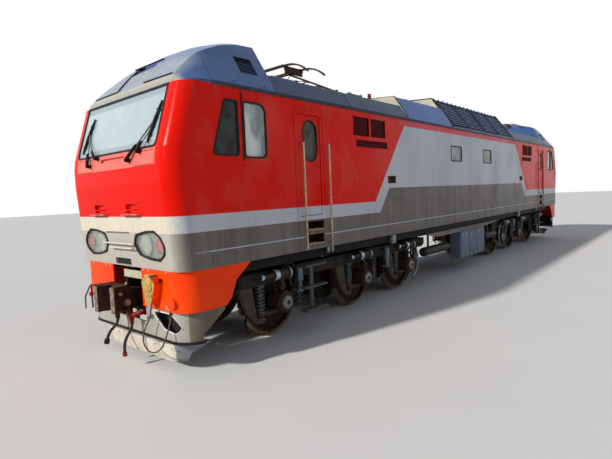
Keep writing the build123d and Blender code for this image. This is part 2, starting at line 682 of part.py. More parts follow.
# Automatic couplers: head with a large and a small tooth and ribbed cheeks, shank in the draft box
coupler_z = rail_z + 1050.0
head_z = (coupler_z - 190.0, coupler_z + 200.0)
HEAD = (
    (-9950.0, -110.0),
    (-10180.0, -150.0),
    (-10330.0, -270.0),
    (-10560.0, -285.0),
    (-10585.0, -215.0),
    (-10430.0, -150.0),
    (-10430.0, 30.0),
    (-10640.0, 75.0),
    (-10640.0, 190.0),
    (-10560.0, 275.0),
    (-10330.0, 280.0),
    (-10180.0, 150.0),
    (-9950.0, 110.0),
)
# Pockets in the cheeks: low and high height from the coupler's axis
HEAD_POCKETS = ((-150.0, -15.0), (25.0, 160.0))
pocket_x = (-10535.0, -10350.0)
pocket_y = (235.0, 300.0)
shank_half = 75.0
neck_x = HEAD[0][0]
with BuildPart() as coupler:
    with BuildSketch(Plane.XY.offset(head_z[0])):
        with BuildLine():
            Polyline(*HEAD, close=True)
        make_face()
    extrude(amount=head_z[1] - head_z[0])
    for low, high in HEAD_POCKETS:
        for side in (-1, 1):
            slab(pocket_x, (side * pocket_y[0], side * pocket_y[1]), (coupler_z + low, coupler_z + high),
                 Mode.SUBTRACT)
    for edge, neck, step in ((head_z[1], coupler_z + shank_half, -60),
                             (head_z[0], coupler_z - shank_half, 60)):
        side_plate([(neck_x + past, edge), (-10300, edge), (-10250, edge + step), (neck_x + past, neck)],
                   (-pocket_y[1], pocket_y[1]), Mode.SUBTRACT)
    slab((neck_x - past, -coupler_pivot_x + 60), (-85, 85), (coupler_z - shank_half, coupler_z + shank_half))
    rod((-coupler_pivot_x, 0, pin_top_z + running_gap), (-coupler_pivot_x, 0, coupler_z + shank_half), 60)
save(coupler.part, "coupler_front")
save(turned(coupler.part), "coupler_rear")

# End fittings: jumper socket, cable gland, uncoupling lever, brake pipe cocks under the draft box
SOCKET = ((-640.0, 1330.0), (-715.0, 1425.0), (-905.0, 1425.0), (-985.0, 1330.0), (-925.0, 1160.0),
          (-850.0, 1010.0), (-730.0, 1010.0), (-690.0, 1170.0))
socket_x = (-10310.0, plate_x)
lever_x = -10320.0
lever_z = rail_z + 1130.0
lever_y = (1000.0, 460.0)
BRAKE_PIPES = (-260.0, 180.0)
cock_x = -10300.0
cock_z = rail_z + 780.0
with BuildPart() as end_fittings:
    cross_plate([(y, rail_z + z) for y, z in SOCKET], socket_x, corner=35)
    rod((-10275, -780, rail_z + 930), (-10275, -780, rail_z + 1030), 26)
    rod((-10172, -1130, rail_z + 885), (-10172, -1130, skirt_low_z - seat_gap), 15)
    rod((lever_x, lever_y[0], lever_z), (lever_x, lever_y[1], lever_z), 14)
    rod((lever_x, lever_y[0], rail_z + 740), (lever_x, lever_y[0], lever_z + 14), 14)
    for y in (lever_y[0] - 110, lever_y[1] + 50):
        slab((lever_x, plate_x), (y - 10, y + 10), (lever_z - 40, lever_z + 20))
    for y in BRAKE_PIPES:
        rod((cock_x, y, cock_z), (draft_x[0] - 5, y, cock_z), 28)
        slab((draft_x[0] - 30, draft_x[0] - seat_gap), (y - 40, y + 40), (cock_z - 35, draft_floor_z - 2))
        rod((cock_x, y, cock_z - 90), (cock_x, y, cock_z + 35), 36)
    add(turned(end_fittings.part))
save(end_fittings.part, "end_fittings")

# Bright metal: handrails beside the doors, rails between the lamps, step plates under the footholds
handrail_y = body_half_width + 60.0
rail_foot = body_half_width + seat_gap
lamp_rail_x = nose_x(1870.0) - 55.0
# Rails between the lamps: low and high Y, height above the rail, radius
LAMP_RAILS = ((-465.0, 465.0, 1870.0, 15.0), (-440.0, 290.0, 1802.0, 12.0))
# Step plates: low and high Y, height above the rail
STEP_PLATES = ((-700.0, -230.0, 2300.0), (310.0, 780.0, 2300.0))
with BuildPart() as handrails:
    for x in (-7715.0, -7015.0):
        for side in (-1, 1):
            rod((x, side * handrail_y, rail_z + 1530), (x, side * handrail_y, rail_z + 3380), 16)
            for z in (1560.0, 2500.0, 3350.0):
                rod((x, side * rail_foot, rail_z + z), (x, side * handrail_y, rail_z + z), 11)
    for y0, y1, z, radius in LAMP_RAILS:
        rod((lamp_rail_x, y0, rail_z + z), (lamp_rail_x, y1, rail_z + z), radius)
        for y in (y0 + 90, y1 - 90):
            rod((lamp_rail_x, y, rail_z + z), (nose_x(z + 10) - seat_gap, y, rail_z + z), 9)
    for y0, y1, z in STEP_PLATES:
        slab((nose_x(z) - 70, nose_x(z + 12) - seat_gap), (y0, y1), (rail_z + z, rail_z + z + 12))
    mirror(about=Plane.YZ)
save(handrails.part, "handrails")

# Battery boxes with their doors, under the middle of the body
box_x = (-700.0, 1250.0)
box_y = (150.0 - body_half_width, 450.0 - body_half_width)
box_z = (rail_z + 400.0, rail_z + 1220.0)
box_doors = 3
hanger_y = (-sill_y[0] + 50.0, -sill_y[1] - 10.0)
with BuildPart() as battery_boxes:
    slab(box_x, box_y, box_z)
    pitch = (box_x[1] - box_x[0]) / box_doors
    for i in range(box_doors):
        x = box_x[0] + i * pitch
        side_plate([(x + 25, box_z[0] + 30), (x + pitch - 25, box_z[0] + 30), (x + pitch - 25, box_z[1] - 30),
                    (x + 25, box_z[1] - 30)], (box_y[0] - 12, box_y[0]), corner=30)
    for x in (-500.0, 0.0, 500.0, 1000.0):
        slab((x, x + 60), hanger_y, (box_z[1], side_sill_z - seat_gap))
    add(turned(battery_boxes.part))
save(battery_boxes.part, "battery_boxes")

# Sloping ducts beside the boxes, and air reservoirs hung from the sills in straps
duct_y = (50.0 - body_half_width, 150.0 - body_half_width)
RESERVOIRS = ((-2780.0, -1280.0), (1560.0, 2560.0))
reservoir_y = 300.0 - body_half_width
reservoir_z = rail_z + 845.0
reservoir_radius = 120.0
with BuildPart() as ducts:
    side_plate([(-3000, side_sill_z - seat_gap), (-2350, box_z[1] + 6), (800, box_z[1] + 6),
                (2550, side_sill_z - seat_gap)], duct_y)
    for x0, x1 in RESERVOIRS:
        with BuildSketch(Plane.XY.offset(reservoir_z)):
            with Locations(((x0 + x1) / 2, reservoir_y)):
                RectangleRounded(x1 - x0, 2 * reservoir_radius, 70)
                with Locations((0, -reservoir_radius)):
                    Rectangle(x1 - x0 + past, 2 * reservoir_radius, mode=Mode.SUBTRACT)
        revolve(axis=Axis((0, reservoir_y, reservoir_z), (1, 0, 0)))
        for x in (x0 + 250, x1 - 250):
            slab((x - 25, x + 25), (reservoir_y - 60, reservoir_y - 20),
                 (reservoir_z, side_sill_z - seat_gap))
    add(turned(ducts.part))
save(ducts.part, "underbody_ducts")

# Machinery in the body, one plain block
with BuildPart() as machinery:
    slab((-6300, 6300), (-1000, 1000), (sill_z + seat_gap, rail_z + 3700))
save(machinery.part, "equipment_block")

# Cab interiors: desk and two seats in each cab
desk_half = body_half_width - 350.0
desk_side = ((-10100.0, sill_z + seat_gap), (-10100.0, rail_z + 2950.0), (-9850.0, rail_z + 2950.0),
             (-9450.0, rail_z + 2650.0), (-9450.0, sill_z + seat_gap))
seat_y = (380.0, 850.0)
seat_z = (rail_z + 2330.0, rail_z + 2450.0)
with BuildPart() as interiors:
    side_plate(desk_side, (-desk_half, desk_half))
    for side in (-1, 1):
        slab((-8950, -8450), (side * seat_y[0], side * seat_y[1]), seat_z)
        side_plate([(-8530, seat_z[1]), (-8430, seat_z[1]), (-8350, rail_z + 3100), (-8430, rail_z + 3120)],
                   sorted((side * seat_y[0], side * seat_y[1])), corner=20)
        middle = side * sum(seat_y) / 2
        rod((-8700, middle, sill_z + seat_gap), (-8700, middle, seat_z[0]), 60)
    mirror(about=Plane.YZ)
save(interiors.part, "cab_interiors")

# Windscreen wipers at rest: an arm and a thinner parallel arm, both ending on the blade
blade_radius = 12.0
arm_stand_off = 60.0
# Blade's top and foot, arm's base, parallel arm's base: Y and height above the rail
WIPERS = (
    ((-1165.0, 3860.0), (-990.0, 3290.0), (-540.0, 3085.0), (-820.0, 3190.0)),
    ((870.0, 3880.0), (1045.0, 3310.0), (705.0, 3085.0), (450.0, 3190.0)),
)
screen_slope = math.atan2(NOSE[4][1] - NOSE[5][1], NOSE[5][0] - NOSE[4][0])
with BuildPart() as wipers:
    blade_off = (blade_radius + seat_gap) / math.cos(screen_slope)
    for top, foot, base, second in WIPERS:
        ends = [(nose_x(h) + glass_setback - blade_off, y, rail_z + h) for y, h in (top, foot)]
        rod(*ends, blade_radius)
        for (y, h), share, radius in ((base, 0.40, 11.0), (second, 0.55, 8.0)):
            tip = Vector(*ends[0]) + (Vector(*ends[1]) - Vector(*ends[0])) * share
            rod((nose_x(h) - arm_stand_off, y, rail_z + h), (tip.X - 4, tip.Y, tip.Z), radius)
            rod((nose_x(h) - arm_stand_off - 8, y, rail_z + h), (nose_x(h - 16) - seat_gap, y, rail_z + h),
                16)
    add(turned(wipers.part))
save(wipers.part, "wipers")


# Bogies
axle_half = beam_outer + 20.0
journal_radius = 75.0


def axle_wheels(x):
    """Axle with two flanged wheels, lying along Y."""
    inner = wheel_back
    outer = wheel_back + wheel_width
    tread = axle_z + wheel_radius
    rim = tread - 75
    with BuildPart() as wheelset:
        with BuildSketch(Plane.YZ.offset(x)):
            with BuildLine():
                Polyline(
                    (0, axle_z), (0, axle_z + 105), (inner - 20, axle_z + 105), (inner - 20, axle_z + 150),
                    (inner + 50, rim), (inner, rim), (inner, tread + 12), (inner + 12, tread + flange_height),
                    (inner + 22, tread + flange_height), (inner + 34, tread), (outer, tread - 6),
                    (outer, rim), (inner + 80, rim), (outer - 20, axle_z + 150),
                    (outer - 20, axle_z + journal_radius), (axle_half, axle_z + journal_radius),
                    (axle_half, axle_z), close=True)
            make_face()
            mirror(about=Plane.YZ)
        revolve(axis=Axis((x, 0, axle_z), (0, 1, 0)))
    return wheelset.part


for number, x in enumerate(AXLES):
    save(axle_wheels(x), "wheelset_" + str(number + 1))
    save(turned(axle_wheels(x)), "wheelset_" + str(6 - number))

frame_ends = (-8850.0, -2550.0)
beam_side = ((frame_ends[0], beam_low_z + 60), (frame_ends[0] + 180, beam_low_z),
             (frame_ends[1] - 120, beam_low_z), (frame_ends[1], beam_low_z + 60), (frame_ends[1], beam_top_z),
             (frame_ends[0], beam_top_z))
# Cross members: low and high X, height of the underside above the rail
TRANSOMS = (
    (-8850.0, -8650.0, 1000.0),
    (-6800.0, -6540.0, 1000.0),
    (-4760.0, -4500.0, 1080.0),
    (-2720.0, -2550.0, 1000.0),
)
# Curved legs that carry the axlebox guides, from the axle: X and height above the rail
LEG = ((-980.0, 1000.0), (-700.0, 1000.0), (-640.0, 640.0), (-610.0, 440.0), (-420.0, 430.0), (-430.0, 340.0),
       (-640.0, 350.0), (-800.0, 560.0))
leg_y = (beam_outer - 120.0, beam_outer - 30.0)
ladder_x = (-7520.0, -7480.0)
ladder_y = (beam_outer + 260.0, beam_outer + 300.0)
tread_x = (-7740.0, -7140.0)
tread_y = (ladder_y[0] - 40.0, ladder_y[1] + 70.0)
with BuildPart() as bogie:
    for side in (-1, 1):
        side_plate(beam_side, sorted((side * beam_inner, side * beam_outer)))
        for x in AXLES:
            with BuildSketch(Plane.XZ.offset(-side * leg_y[0] if side > 0 else leg_y[1])):
                with BuildLine():
                    FilletPolyline(*[(x + dx, rail_z + z) for dx, z in LEG], close=True,
                                   radius=[0, 0, 60, 40, 35, 35, 60, 110])
                make_face()
            extrude(amount=-(leg_y[1] - leg_y[0]))
        slab(ladder_x, (side * ladder_y[0], side * ladder_y[1]), (rail_z + 440, rail_z + 1240))
        slab(ladder_x, (side * beam_outer, side * ladder_y[1]), (rail_z + 1040, rail_z + 1100))
        for z in (440.0, 850.0, 1230.0):
            slab(tread_x, (side * tread_y[0], side * tread_y[1]), (rail_z + z, rail_z + z + 12))
    for x0, x1, low in TRANSOMS:
        slab((x0, x1), (-beam_inner, beam_inner), (rail_z + low, beam_top_z))
    slab((-7000, -4500), (-260, 260), (rail_z + 1140, rail_z + 1340))
    rod((-bogie_pivot_x, 0, rail_z + 1100), (-bogie_pivot_x, 0, rail_z + 1400), pin_radius + running_gap,
        Mode.SUBTRACT)
save(bogie.part, "bogie_frame_front")
save(turned(bogie.part), "bogie_frame_rear")

# Coil springs on the axlebox arms, drawn as stacked turns
arm_top_z = rail_z + 520.0
spring_turns = 6
spring_core = spring_radius - 20.0
with BuildPart() as springs:
    low = arm_top_z + seat_gap
    pitch = (beam_low_z - seat_gap - low) / spring_turns
    for side in (-1, 1):
        for x in AXLES:
            for centre in (x - spring_offset, x + spring_offset):
                outline = [(centre, low)]
                for i in range(spring_turns):
                    outline += [(centre + spring_radius, low + (i + 0.08) * pitch),
                                (centre + spring_radius, low + (i + 0.55) * pitch),
                                (centre + spring_core, low + (i + 0.82) * pitch)]
                with BuildSketch(Plane.XZ.offset(-side * spring_y)):
                    with BuildLine():
                        Polyline(*outline, (centre, low + spring_turns * pitch), close=True)
                    make_face()
                revolve(axis=Axis((centre, side * spring_y, 0), (0, 0, 1)))
save(springs.part, "springs_front")
save(turned(springs.part), "springs_rear")

# Axleboxes on their arms, brake cylinders and dampers
arm_y = (spring_y - 80.0, spring_y + 70.0)
box_face = beam_outer + 80.0
cylinder_y = beam_outer + 110.0
damper_y = beam_outer + 120.0
cylinder_z = rail_z + 1150.0
DAMPERS = (-7610.0, -4620.0)
with BuildPart() as boxes:
    for side in (-1, 1):
        mount = sorted((side * (beam_outer + seat_gap), side * cylinder_y))
        for x in AXLES:
            rod((x, side * (beam_inner - 35), axle_z), (x, side * box_face, axle_z), 190)
            slab((x - 580, x + 580), (side * arm_y[0], side * arm_y[1]), (arm_top_z - 60, arm_top_z))
            rod((x, side * box_face, axle_z), (x, side * (box_face + 25), axle_z), 150)
            rod((x, side * (box_face + 25), axle_z), (x, side * (box_face + 50), axle_z), 100)
            rod((x, side * (beam_inner - 40), axle_z), (x, side * (axle_half + 1), axle_z),
                journal_radius + running_gap, Mode.SUBTRACT)
            rod((x - 350, side * cylinder_y, cylinder_z), (x + 30, side * cylinder_y, cylinder_z), 88)
            rod((x - 20, side * cylinder_y, cylinder_z), (x + 60, side * cylinder_y, cylinder_z), 100)
            rod((x - 380, side * cylinder_y, cylinder_z), (x - 350, side * cylinder_y, cylinder_z), 70)
            rod((x - 620, side * cylinder_y, cylinder_z), (x - 380, side * cylinder_y, cylinder_z), 30)
            slab((x - 260, x - 60), mount, (cylinder_z - 85, cylinder_z + 70))
        for x in DAMPERS:
            rod((x, side * damper_y, rail_z + 960), (x, side * damper_y, rail_z + 1180), 48)
            rod((x, side * damper_y, rail_z + 800), (x, side * damper_y, rail_z + 960), 32)
            slab((x - 30, x + 30), sorted((side * (beam_outer + seat_gap), side * damper_y)),
                 (rail_z + 1120, rail_z + 1180))
save(boxes.part, "bogie_fittings_front")
save(turned(boxes.part), "bogie_fittings_rear")

# Traction motors hung between each axle and a cross member, with their gear cases
with BuildPart() as motors:
    for x, toward in zip(AXLES, MOTOR_SIDE):
        centre = x + toward * 600
        rod((centre, -560, axle_z), (centre, 560, axle_z), 400)
        slab((x, centre), (-520, 520), (axle_z - 150, axle_z + 150))
        rod((x, -520, axle_z), (x, 520, axle_z), 165)
        rod((x, -530, axle_z), (x, 530, axle_z), 105 + running_gap, Mode.SUBTRACT)
        slab((centre - 60, centre + 60), (-200, 200), (axle_z + 380, rail_z + 1140 - seat_gap))
save(motors.part, "motors_front")
save(turned(motors.part), "motors_rear")


# Pantographs: base frame on ribbed insulators, lower arm, upper frame, collector head
def insulator(x, y, z, core, rim, sheds):
    """Ribbed post insulator between two heights, in the part being built."""
    pitch = (z[1] - z[0]) / sheds
    outline = [(x, z[0])]
    for i in range(sheds):
        outline += [(x + core, z[0] + i * pitch), (x + rim, z[0] + (i + 0.45) * pitch)]
    with BuildSketch(Plane.XZ.offset(-y)) as profile:
        with BuildLine():
            Polyline(*outline, (x + core, z[1]), (x, z[1]), close=True)
        make_face()
    revolve(profile.sketch, axis=Axis((x, y, 0), (0, 0, 1)))


post_foot_z = rail_z + 4480.0
base_z = (arm_pivot[1] - 90.0, arm_pivot[1] - 30.0)
with BuildPart() as bases:
    for side in (-1, 1):
        slab((-7100, -5000), (side * (arm_gauge + 80), side * arm_gauge), base_z)
        for x in (-7000.0, -5100.0):
            insulator(x, side * (arm_gauge + 40), (post_foot_z, base_z[0]), 36, 62, 4)
    for x in (-7100.0, -5080.0):
        slab((x, x + 80), (-arm_gauge, arm_gauge), base_z)
    for side in (-1, 1):
        slab((arm_pivot[0] - 40, arm_pivot[0] + 40), (side * (arm_gauge - 70), side * arm_gauge),
             (base_z[0], arm_pivot[1] + 40))
    rod((arm_pivot[0], -arm_gauge, arm_pivot[1]), (arm_pivot[0], arm_gauge, arm_pivot[1]), 28 + running_gap,
        Mode.SUBTRACT)
    add(low_roofs.part, mode=Mode.SUBTRACT)
    mirror(about=Plane.YZ)
save(bases.part, "pantograph_bases")

with BuildPart() as lower_arm:
    rod((arm_pivot[0], -arm_gauge, arm_pivot[1]), (arm_pivot[0], arm_gauge, arm_pivot[1]), 28)
    rod((arm_pivot[0], 0, arm_pivot[1]), (knee[0], 0, knee[1]), 40)
    rod((knee[0], -220, knee[1]), (knee[0], 220, knee[1]), 26)
save(lower_arm.part, "lower_arm_front")
save(turned(lower_arm.part), "lower_arm_rear")


def frame_point(side, share):
    """Point on one tube of the upper frame, at a share of the way from knee to head."""
    start = Vector(knee[0], side * 200, knee[1])
    return start + (Vector(head_pivot[0], side * 420, head_pivot[1]) - start) * share


with BuildPart() as upper_arm:
    for side in (-1, 1):
        rod(frame_point(side, 0), frame_point(side, 1), 20)
        rod((knee[0], side * 150, knee[1]), (knee[0], side * 230, knee[1]), 42)
        rod(frame_point(side, 0.35), frame_point(-side, 0.70), 10)
    rod((knee[0], -300, knee[1]), (knee[0], 300, knee[1]), 26 + running_gap, Mode.SUBTRACT)
    rod((head_pivot[0], -575, head_pivot[1]), (head_pivot[0], 575, head_pivot[1]), cross_rod_radius)
save(upper_arm.part, "upper_arm_front")
save(turned(upper_arm.part), "upper_arm_rear")

# Collector head: two bows with drooping horns on a frame that turns on the upper arm's cross rod
bow_reach = 250.0
bow_half = 25.0
bow_band = 30.0
bow_flat = 600.0
horn_tip = (1130.0, -215.0)
bow_z = head_pivot[1] + 107.0
with BuildPart() as head:
    for x in (head_pivot[0] - bow_reach, head_pivot[0] + bow_reach):
        with BuildSketch(Plane.YZ.offset(x - bow_half)):
            with BuildLine() as bow:
                Line((-bow_flat, bow_z), (bow_flat, bow_z))
                TangentArc((bow_flat, bow_z), (horn_tip[0], bow_z + horn_tip[1]), tangent=(1, 0))
                TangentArc((-bow_flat, bow_z), (-horn_tip[0], bow_z + horn_tip[1]), tangent=(-1, 0))
            trace(bow.line, line_width=bow_band)
        extrude(amount=2 * bow_half)
    for side in (-1, 1):
        slab((head_pivot[0] - bow_reach, head_pivot[0] + bow_reach), (side * 560, side * 530),
             (head_pivot[1] - 30, bow_z))
    rod((head_pivot[0], -bow_flat, head_pivot[1]), (head_pivot[0], bow_flat, head_pivot[1]),
        cross_rod_radius + running_gap, Mode.SUBTRACT)
save(head.part, "collector_head_front")
save(turned(head.part), "collector_head_rear")

# Bus bars on ribbed posts behind the pantographs
bus_y = -300.0
bus_z = rail_z + 4845.0
with BuildPart() as bus_bars:
    for x in (-4450.0, -4000.0):
        insulator(x, bus_y, (post_foot_z, bus_z - 15), 30, 56, 4)
    rod((-4550, bus_y, bus_z), (-3940, bus_y, bus_z), 15)
    add(low_roofs.part, mode=Mode.SUBTRACT)
    mirror(about=Plane.YZ)
save(bus_bars.part, "bus_bars")


# Hoses and the jumper cable at cab 1
def cord(points, radius, name):
    """Round cord through chosen points, with a tangent arc at each corner; prints its radii."""
    radii = []
    for before, at, after in zip(points, points[1:], points[2:]):
        into = Vector(*at) - Vector(*before)
        out = Vector(*after) - Vector(*at)
        half_turn = math.radians(into.get_angle(out)) / 2
        radii.append(0.45 * min(into.length, out.length) / math.tan(half_turn))
    with BuildPart() as tube:
        with BuildLine() as path:
            FilletPolyline(*points, radius=radii)
        with BuildSketch(Plane(origin=path.line @ 0, z_dir=path.line % 0)):
            Circle(radius)
        sweep()
        length = path.wires()[0].length
    print(name, "length", round(length), "radii", [round(r) for r in radii])
    save(tube.part, name)


HOSE_NEAR = (
    (-10300.0, -260.0, 720.0),
    (-10300.0, -260.0, 650.0),
    (-10328.0, -240.0, 575.0),
    (-10368.0, -210.0, 495.0),
    (-10392.0, -180.0, 410.0),
    (-10398.0, -163.0, 320.0),
    (-10398.0, -163.0, 245.0),
)
HOSE_FAR = (
    (-10300.0, 180.0, 720.0),
    (-10300.0, 180.0, 655.0),
    (-10342.0, 205.0, 590.0),
    (-10405.0, 228.0, 525.0),
    (-10460.0, 215.0, 460.0),
    (-10500.0, 165.0, 415.0),
)
JUMPER = (
    (-10275.0, -780.0, 960.0),
    (-10275.0, -780.0, 880.0),
    (-10290.0, -725.0, 790.0),
    (-10305.0, -655.0, 690.0),
    (-10325.0, -605.0, 560.0),
    (-10340.0, -640.0, 450.0),
    (-10345.0, -740.0, 380.0),
    (-10345.0, -870.0, 365.0),
    (-10335.0, -1000.0, 400.0),
    (-10315.0, -1100.0, 480.0),
    (-10288.0, -1148.0, 590.0),
    (-10250.0, -1152.0, 680.0),
    (-10208.0, -1142.0, 770.0),
    (-10172.0, -1130.0, 850.0),
    (-10172.0, -1130.0, 915.0),
)
cord(HOSE_NEAR, 22, "brake_hose_near")
cord(HOSE_FAR, 22, "brake_hose_far")
cord(JUMPER, 11, "jumper_cable")
with BuildPart() as hose_heads:
    for route, radius, length in ((HOSE_NEAR, 34.0, 55.0), (HOSE_FAR, 40.0, 60.0)):
        end = Vector(*route[-1])
        along = (end - Vector(*route[-2])).normalized()
        rod(end, end + along * length, radius)
save(hose_heads.part, "hose_heads")
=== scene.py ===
import bpy, math
from mathutils import Matrix, Vector


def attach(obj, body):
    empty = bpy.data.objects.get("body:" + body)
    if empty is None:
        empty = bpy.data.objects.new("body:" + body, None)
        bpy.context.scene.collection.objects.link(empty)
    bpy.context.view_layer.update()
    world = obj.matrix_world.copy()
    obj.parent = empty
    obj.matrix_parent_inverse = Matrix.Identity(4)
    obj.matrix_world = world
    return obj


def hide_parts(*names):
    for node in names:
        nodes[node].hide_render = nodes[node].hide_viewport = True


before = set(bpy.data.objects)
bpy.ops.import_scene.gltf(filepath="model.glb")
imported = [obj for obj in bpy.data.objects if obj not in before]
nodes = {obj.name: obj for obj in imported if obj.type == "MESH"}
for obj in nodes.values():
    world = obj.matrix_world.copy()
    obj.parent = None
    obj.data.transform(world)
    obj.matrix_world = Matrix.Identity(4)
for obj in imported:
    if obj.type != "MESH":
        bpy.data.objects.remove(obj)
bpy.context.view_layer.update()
RAIL = 0.03

# Camera. The photograph was taken by hand from a platform, a little above the coupler's height,
# off the cab's corner, with a phone held level to within a few degrees.
bpy.context.scene.view_settings.view_transform = "Standard"
YAW, PITCH, ROLL = 0.8515693916, 0.0779479916, 0.0438215242
FOCAL_PIXELS, PHOTO_WIDTH = 455.6704236, 612.0
forward = Vector((math.sin(YAW) * math.cos(PITCH), math.cos(YAW) * math.cos(PITCH), -math.sin(PITCH)))
level = Vector((math.cos(YAW), -math.sin(YAW), 0.0))
below = forward.cross(level)
right = math.cos(ROLL) * level + math.sin(ROLL) * below
down = -math.sin(ROLL) * level + math.cos(ROLL) * below
camera_data = bpy.data.cameras.new("camera")
camera_data.sensor_width = 36.0
camera_data.lens = FOCAL_PIXELS * 36.0 / PHOTO_WIDTH
camera_data.clip_end = 200.0
camera = bpy.data.objects.new("camera", camera_data)
link = bpy.context.scene.collection.objects.link
link(camera)
turn = Matrix((right, -down, -forward)).transposed().to_4x4()
camera.matrix_world = Matrix.Translation((-13.62556977, -6.7560002, 2.49805747 + RAIL)) @ turn
bpy.context.scene.camera = camera

# Brake hoses and jumper cable. Two air hoses hang from the cocks under the coupler and a thin
# electric cable hangs in a loop from its socket on the skirt. Black rubber over braid.


def put(socket, value):
    """Links another socket to this input, or sets it to a value."""
    if isinstance(value, bpy.types.NodeSocket):
        socket.id_data.links.new(value, socket)
    else:
        socket.default_value = value


def feed(node, **values):
    """Gives a node its settings, and its inputs by name with underscores for spaces."""
    for key, value in values.items():
        if hasattr(node, key):
            setattr(node, key, value)
        else:
            put(node.inputs[key.replace("_", " ")], value)
    return node


def wired(source, kind, **values):
    """A new node beside a node or a socket, in the same tree, with its values."""
    return feed(source.id_data.nodes.new(kind), **values)


def maths(operation, first, second=0.0, clamp=False):
    """One step of arithmetic on two sockets, or on a socket and a number."""
    source = first if isinstance(first, bpy.types.NodeSocket) else second
    step = wired(source, "ShaderNodeMath", operation=operation, use_clamp=clamp)
    put(step.inputs[0], first)
    put(step.inputs[1], second)
    return step.outputs[0]


def both(first, second):
    """The product of two shares: 1 where both are 1."""
    return maths("MULTIPLY", first, second)


def mix(share, first, second):
    """Two colours mixed by a share."""
    step = wired(share, "ShaderNodeMix", data_type="RGBA")
    put(step.inputs[0], share)
    for index, value in ((6, first), (7, second)):
        put(step.inputs[index], value if isinstance(value, bpy.types.NodeSocket) else (*value, 1))
    return step.outputs[2]


def ramp(value, low, high, start=0.0, end=1.0):
    """A value moved from one range to another and held at its ends."""
    ends = {"From_Min": low, "From_Max": high, "To_Min": start, "To_Max": end}
    return wired(value, "ShaderNodeMapRange", Value=value, **ends).outputs["Result"]


def grain(where, scale, detail=3.0, stretch=(1, 1, 1), distortion=0.0):
    """Noise on object coordinates, stretched along the axes."""
    if stretch != (1, 1, 1):
        where = wired(where, "ShaderNodeMapping", Scale=stretch, Vector=where).outputs["Vector"]
    noise = wired(where, "ShaderNodeTexNoise", Vector=where, Scale=scale, Detail=detail)
    return feed(noise, Distortion=distortion).outputs["Fac"]


def axes(where):
    """The three object coordinates, each as a socket."""
    return wired(where, "ShaderNodeSeparateXYZ", Vector=where).outputs[:]


def linear(colour):
    """An sRGB colour, 0 to 255, as the shader's linear numbers."""
    parts = [c / 255.0 for c in colour]
    return tuple(c / 12.92 if c <= 0.04045 else ((c + 0.055) / 1.055) ** 2.4 for c in parts)


def start_material(name, roughness, metallic=0.0, coat=0.0):
    """A material, its shader and its object coordinates."""
    made = bpy.data.materials.new(name)
    made.use_nodes = True
    shader = made.node_tree.nodes["Principled BSDF"]
    feed(shader, Roughness=roughness, Metallic=metallic, Specular_IOR_Level=0.12)
    feed(shader, Coat_Weight=0.2 * coat, Coat_Roughness=0.12)
    return made, shader, wired(shader, "ShaderNodeTexCoord").outputs["Object"]


def bump(shader, height, strength, distance):
    """Joins a height to the shader's normal."""
    step = wired(shader, "ShaderNodeBump", Strength=strength, Distance=distance, Height=height)
    feed(shader, Normal=step.outputs["Normal"])


def hose_finish(name, dark, light):
    """Rubber hose: dusty patches and a fine braid."""
    made, shader, where = start_material(name, 0.55)
    tone = ramp(grain(where, 38.0, 3.0), 0.35, 0.7)
    feed(shader, Base_Color=mix(tone, linear(dark), linear(light)))
    bump(shader, grain(where, 300.0, 2.0), 0.5, 0.001)
    return made


hose_rubber = hose_finish("hose_rubber", (30, 29, 29), (72, 66, 60))
cable_rubber = hose_finish("cable_rubber", (66, 60, 54), (112, 100, 86))


def curve_object(name, runs, radius, rings, steps=0, closed=False):
    """A curve of round section along runs of points, smooth where steps are given."""
    data = bpy.data.curves.new(name, "CURVE")
    data.dimensions = "3D"
    for run in runs:
        spline = data.splines.new("NURBS" if steps else "POLY")
        spline.points.add(len(run) - 1)
        for point, place in zip(spline.points, run):
            point.co = (*place, 1.0)
        if steps:
            spline.order_u = 3
            spline.use_endpoint_u = True
            spline.resolution_u = steps
        spline.use_cyclic_u = closed
    data.bevel_depth = radius
    data.bevel_resolution = rings
    data.use_fill_caps = True
    made = bpy.data.objects.new(name, data)
    link(made)
    return made


def cord(name, route, radius, rubber):
    """A cord on its route's points, which replaces the CAD tube of the same route."""
    made = curve_object(name + "_line", [route], radius, rings=5, steps=12)
    made.data.materials.append(rubber)
    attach(made, "locomotive_body")
    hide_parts(name)
    return made


cord("brake_hose_near", ((-10.3, -0.26, 0.72), (-10.3, -0.26, 0.65), (-10.328, -0.24, 0.575),
    (-10.368, -0.21, 0.495), (-10.392, -0.18, 0.41), (-10.398, -0.163, 0.32), (-10.398, -0.163, 0.245)),
    0.022, hose_rubber)
cord("brake_hose_far", ((-10.3, 0.18, 0.72), (-10.3, 0.18, 0.655), (-10.342, 0.205, 0.59),
    (-10.405, 0.228, 0.525), (-10.46, 0.215, 0.46), (-10.5, 0.165, 0.415)), 0.022,
    hose_rubber)
cord("jumper_cable", ((-10.275, -0.78, 0.96), (-10.275, -0.78, 0.88), (-10.29, -0.725, 0.79),
    (-10.305, -0.655, 0.69), (-10.325, -0.605, 0.56), (-10.34, -0.64, 0.45), (-10.345, -0.74, 0.38),
    (-10.345, -0.87, 0.365), (-10.335, -1.0, 0.4), (-10.315, -1.1, 0.48), (-10.288, -1.148, 0.59),
    (-10.25, -1.152, 0.68), (-10.208, -1.142, 0.77), (-10.172, -1.13, 0.85), (-10.172, -1.13, 0.915)),
    0.011, cable_rubber)

